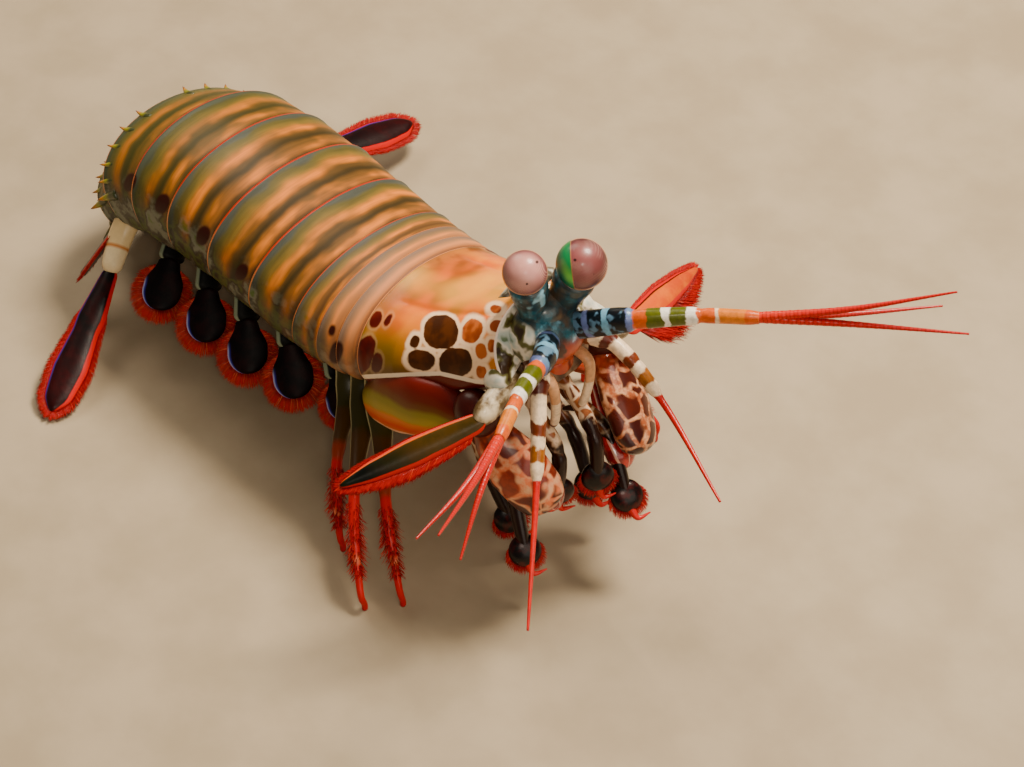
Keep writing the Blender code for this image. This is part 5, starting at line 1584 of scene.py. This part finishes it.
def telson_grid():
    """The plate: width * cos of the angle, thick in its middle, with five raised keels on top."""
    axes = basis(TELSON_PITCH, SEGMENTS["abdomen_6"][2])
    start = REARS[-1] - axes[0] * GAP
    rows, columns = 90, 200
    t = np.linspace(0.0, 0.93, rows)
    angle = angles(columns)
    width = np.interp(t, (0.0, 0.2, 0.45, 0.7, 0.88, 0.93), (0.98, 1.04, 1.0, 0.84, 0.62, 0.45))
    width = soften(width, 3.0)[:, None] * TELSON_HALF_WIDTH
    thick = np.interp(t, (0.0, 0.2, 0.45, 0.7, 0.93), (1.0, 0.95, 0.8, 0.6, 0.3))
    thick = thick[:, None] * TELSON_THICKNESS
    across = fuller(np.cos(angle), 0.85)
    rise = np.abs(np.sin(angle))
    top = np.where(np.sin(angle) > 0, 0.42 * rise**0.9, -0.42 * rise**0.6)
    keels = sum(size * np.exp(-0.5 * ((across - place) / 0.035) ** 2)
                for place, size in ((0.0, 0.2), (0.3, 0.1), (-0.3, 0.1), (0.6, 0.1), (-0.6, 0.1)))
    ends = (np.clip(t / 0.1, 0, 1) * np.clip((0.93 - t) / 0.2, 0, 1))[:, None]
    top = top + np.where(np.sin(angle) > 0, keels, 0.0) * ends
    grid = (start - np.outer(t * TELSON_LENGTH, axes[0])[:, None]
            + (across * width)[..., None] * axes[1] + (top * thick)[..., None] * axes[2])
    return grid, t, across, start, axes


grid, t, across, start, axes = telson_grid()
grids = [grid]
TELSON_TEETH = ((0.62, 0.82, 3.2, 0.7), (0.76, 0.66, 3.2, 0.45), (0.84, 0.3, 3.0, 0.1))
for place, out, reach, lean in TELSON_TEETH:
    for sign in (-1, 1):
        root = start - axes[0] * TELSON_LENGTH * place + axes[1] * TELSON_HALF_WIDTH * out * sign
        tip = root + (-axes[0] + axes[1] * sign * lean) * reach
        path = np.linspace(root + axes[0], tip, 24)
        size = np.linspace(1.0, 0.0, 24) ** 0.7 + 0.06
        grids.append(tube(path, size, size, axes[2], 16))
for item in grids:
    item[..., 2] = np.maximum(item[..., 2], 0.0)
extra = len(grids) - 1
piece("telson_plate", grids, tergite_material, ("telson",), {
    "along": [t[:, None] * 0.9] + [np.linspace(0.7, 1.0, 24)[:, None]] * extra,
    "side": [across[None] * 0.8] + [np.zeros((1, 1))] * extra,
    "spot": [np.full((1, 1), 99.0)] * (extra + 1),
    "body": [np.full((1, 1), 1.0)] * (extra + 1),
})

# %% Tail limbs
UROPODS = {"right": ((-34.2, -19.4, 9.6), (-22.8, -39.6, 1.2)),
           "left": ((-35.0, 19.6, 10.2), (-34.6, 43.2, 5.2))}
TAIL_RINGS = rings((0.3, paint(130, 104, 40)), (0.68, paint(236, 206, 150)), (0.72, paint(206, 130, 60)),
                   (1.0, paint(240, 216, 170)), edge=0.03)
tail_base_material = ringed_finish("tail_base", TAIL_RINGS, ragged=0.008, mottled=0.05)
paddle_material = blade_finish("tail_paddle", paint(6, 2, 3), paint(30, 2, 3), RED,
                               paint(56, 40, 120), paint(60, 3, 4), 0.9, 1.0)


def uropod(side):
    """The pale base with its fork and inner paddle, and the outer paddle with its fringe."""
    sign = SIDES[side]
    index = NAMES.index("abdomen_6")
    axes = basis(*SEGMENTS["abdomen_6"][1:3])
    root = (FRONTS[index] + REARS[index]) / 2 + axes[1] * 9.0 * sign - axes[2] * 0.6
    elbow, tip = (np.array(value) for value in UROPODS[side])
    path = smooth_path([root, (root + elbow) / 2 + (-1.0, 0.0, -0.6), elbow], 70)
    ends = dome(70, 0.0, 0.12)
    arm = tube(path, profile(70, (0.0, 2.4), (0.6, 2.1), (1.0, 1.6)) * ends,
               profile(70, (0.0, 2.0), (1.0, 1.6)) * ends, (1, 0, 0), 40)
    inner_way = np.array((-1.6, 12.0 * sign, -11.4))
    heading = unit(inner_way)
    fork_path = np.linspace(root + heading * 2.0 - axes[2] * 0.8,
                            root + heading * 9.0 - axes[2] * 2.0, 30)
    thin = 1.2 * np.linspace(1.0, 0.05, 30) ** 0.8
    limb_piece(f"uropod_{side}", "arm", [arm, tube(fork_path, thin, thin, axes[0], 20)],
               tail_base_material, parts=(0, 0))
    path = np.linspace(root + heading * 3.0, root + inner_way, 64)
    width = 2.3 * np.sqrt(np.clip(1.03 - np.linspace(-1.0, 1.0, 64) ** 2, 0.03, 1.0))
    inner = blade(path, width, 0.5 * dome(64, 0.1, 0.05), (-0.75, 0.2 * sign, 0.5), 56)
    limb_piece(f"uropod_{side}", "inner", [inner], paddle_material, replace=False)
    fringe(f"uropod_{side}_inner_fringe", [inner], red_bristle, 500, 1.6, 0.3, 0.5)
    heading = unit(tip - elbow)
    path = np.linspace(elbow - heading * 1.0, tip, 110)
    t = shares(110)
    width = np.interp(t, (0.0, 0.12, 0.35, 0.45, 0.7, 0.9, 1.0), (1.2, 1.6, 2.4, 2.2, 2.9, 2.3, 1.2))
    outer = blade(path, soften(width, 2.0) * dome(110, 0.05, 0.1), 0.65 * dome(110, 0.05, 0.06),
                  (0.25, 0.25 * sign, 0.93), 64)
    outer[..., 2] = np.maximum(outer[..., 2], 0.05)
    name = f"uropod_exopod_{side}"
    limb_piece(name, "blade", [outer], paddle_material, mirror=-sign)
    fringe(f"{name}_fringe", [outer], red_bristle, 1500, 1.9, 0.3, 0.5)


for side in SIDES:
    uropod(side)
print("pieces in all:", len(PIECES))

# %% [markdown]
# ## Floor and light
# A warm sand-coloured floor and large soft lights, as in a small studio. One smaller lamp near the
# viewer gives the crisp highlights that a wet shell shows.

# %% Floor
FLOOR_REACH = 1.6  # half its side, in metres
corners = np.array([(-1, -1, 0), (1, -1, 0), (1, 1, 0), (-1, 1, 0)]) * FLOOR_REACH
floor_mesh = bpy.data.meshes.new("floor")
floor_mesh.from_pydata(corners, [], [(0, 1, 2, 3)])
floor = bpy.data.objects.new("floor", floor_mesh)
tree = Finish("floor", 0.7, 0.0)
sand = tree.mix(tree.clouds(60.0, 4.0, 0.3, 0.7), paint(156, 138, 110), paint(170, 152, 124))
floor_mesh.materials.append(tree.plain(sand))
bpy.context.scene.collection.objects.link(floor)

# %% Lights
world = bpy.data.worlds.new("studio")
world.use_nodes = True
sky = world.node_tree.nodes["Background"].inputs
sky["Color"].default_value = (1.0, 0.9, 0.78, 1.0)
sky["Strength"].default_value = 0.16
bpy.context.scene.world = world

LAMP_TARGET = (20.0, 0.0, 25.0)
LAMP_COLOUR = (1.0, 0.88, 0.72)


def lamp(name, place, size, watts):
    """A square area lamp at a place in body measures, aimed at the animal."""
    data = bpy.data.lights.new(name, "AREA")
    data.shape, data.size, data.energy, data.color = "SQUARE", size * MM, watts, LAMP_COLOUR
    obj = bpy.data.objects.new(name, data)
    back = unit(np.array(place, float) - LAMP_TARGET)
    right = unit(np.cross((0.0, 0.0, 1.0), back))
    set_up(obj, right, np.cross(back, right), back, place)


lamp("key", (60, 170, 380), 110, 3.6)
lamp("fill", (380, -60, 200), 300, 0.55)
lamp("back", (-260, 60, 300), 200, 0.7)
lamp("flash", (300, -200, 360), 50, 0.4)

# %% Sizes, and the end
print("CAD box, mm:", np.round(np.array(cad_box) * 1000, 2).tolist())
print("pieces:", len(PIECES), "triangles:", sum(len(p.data.polygons) * 2 for p in PIECES))
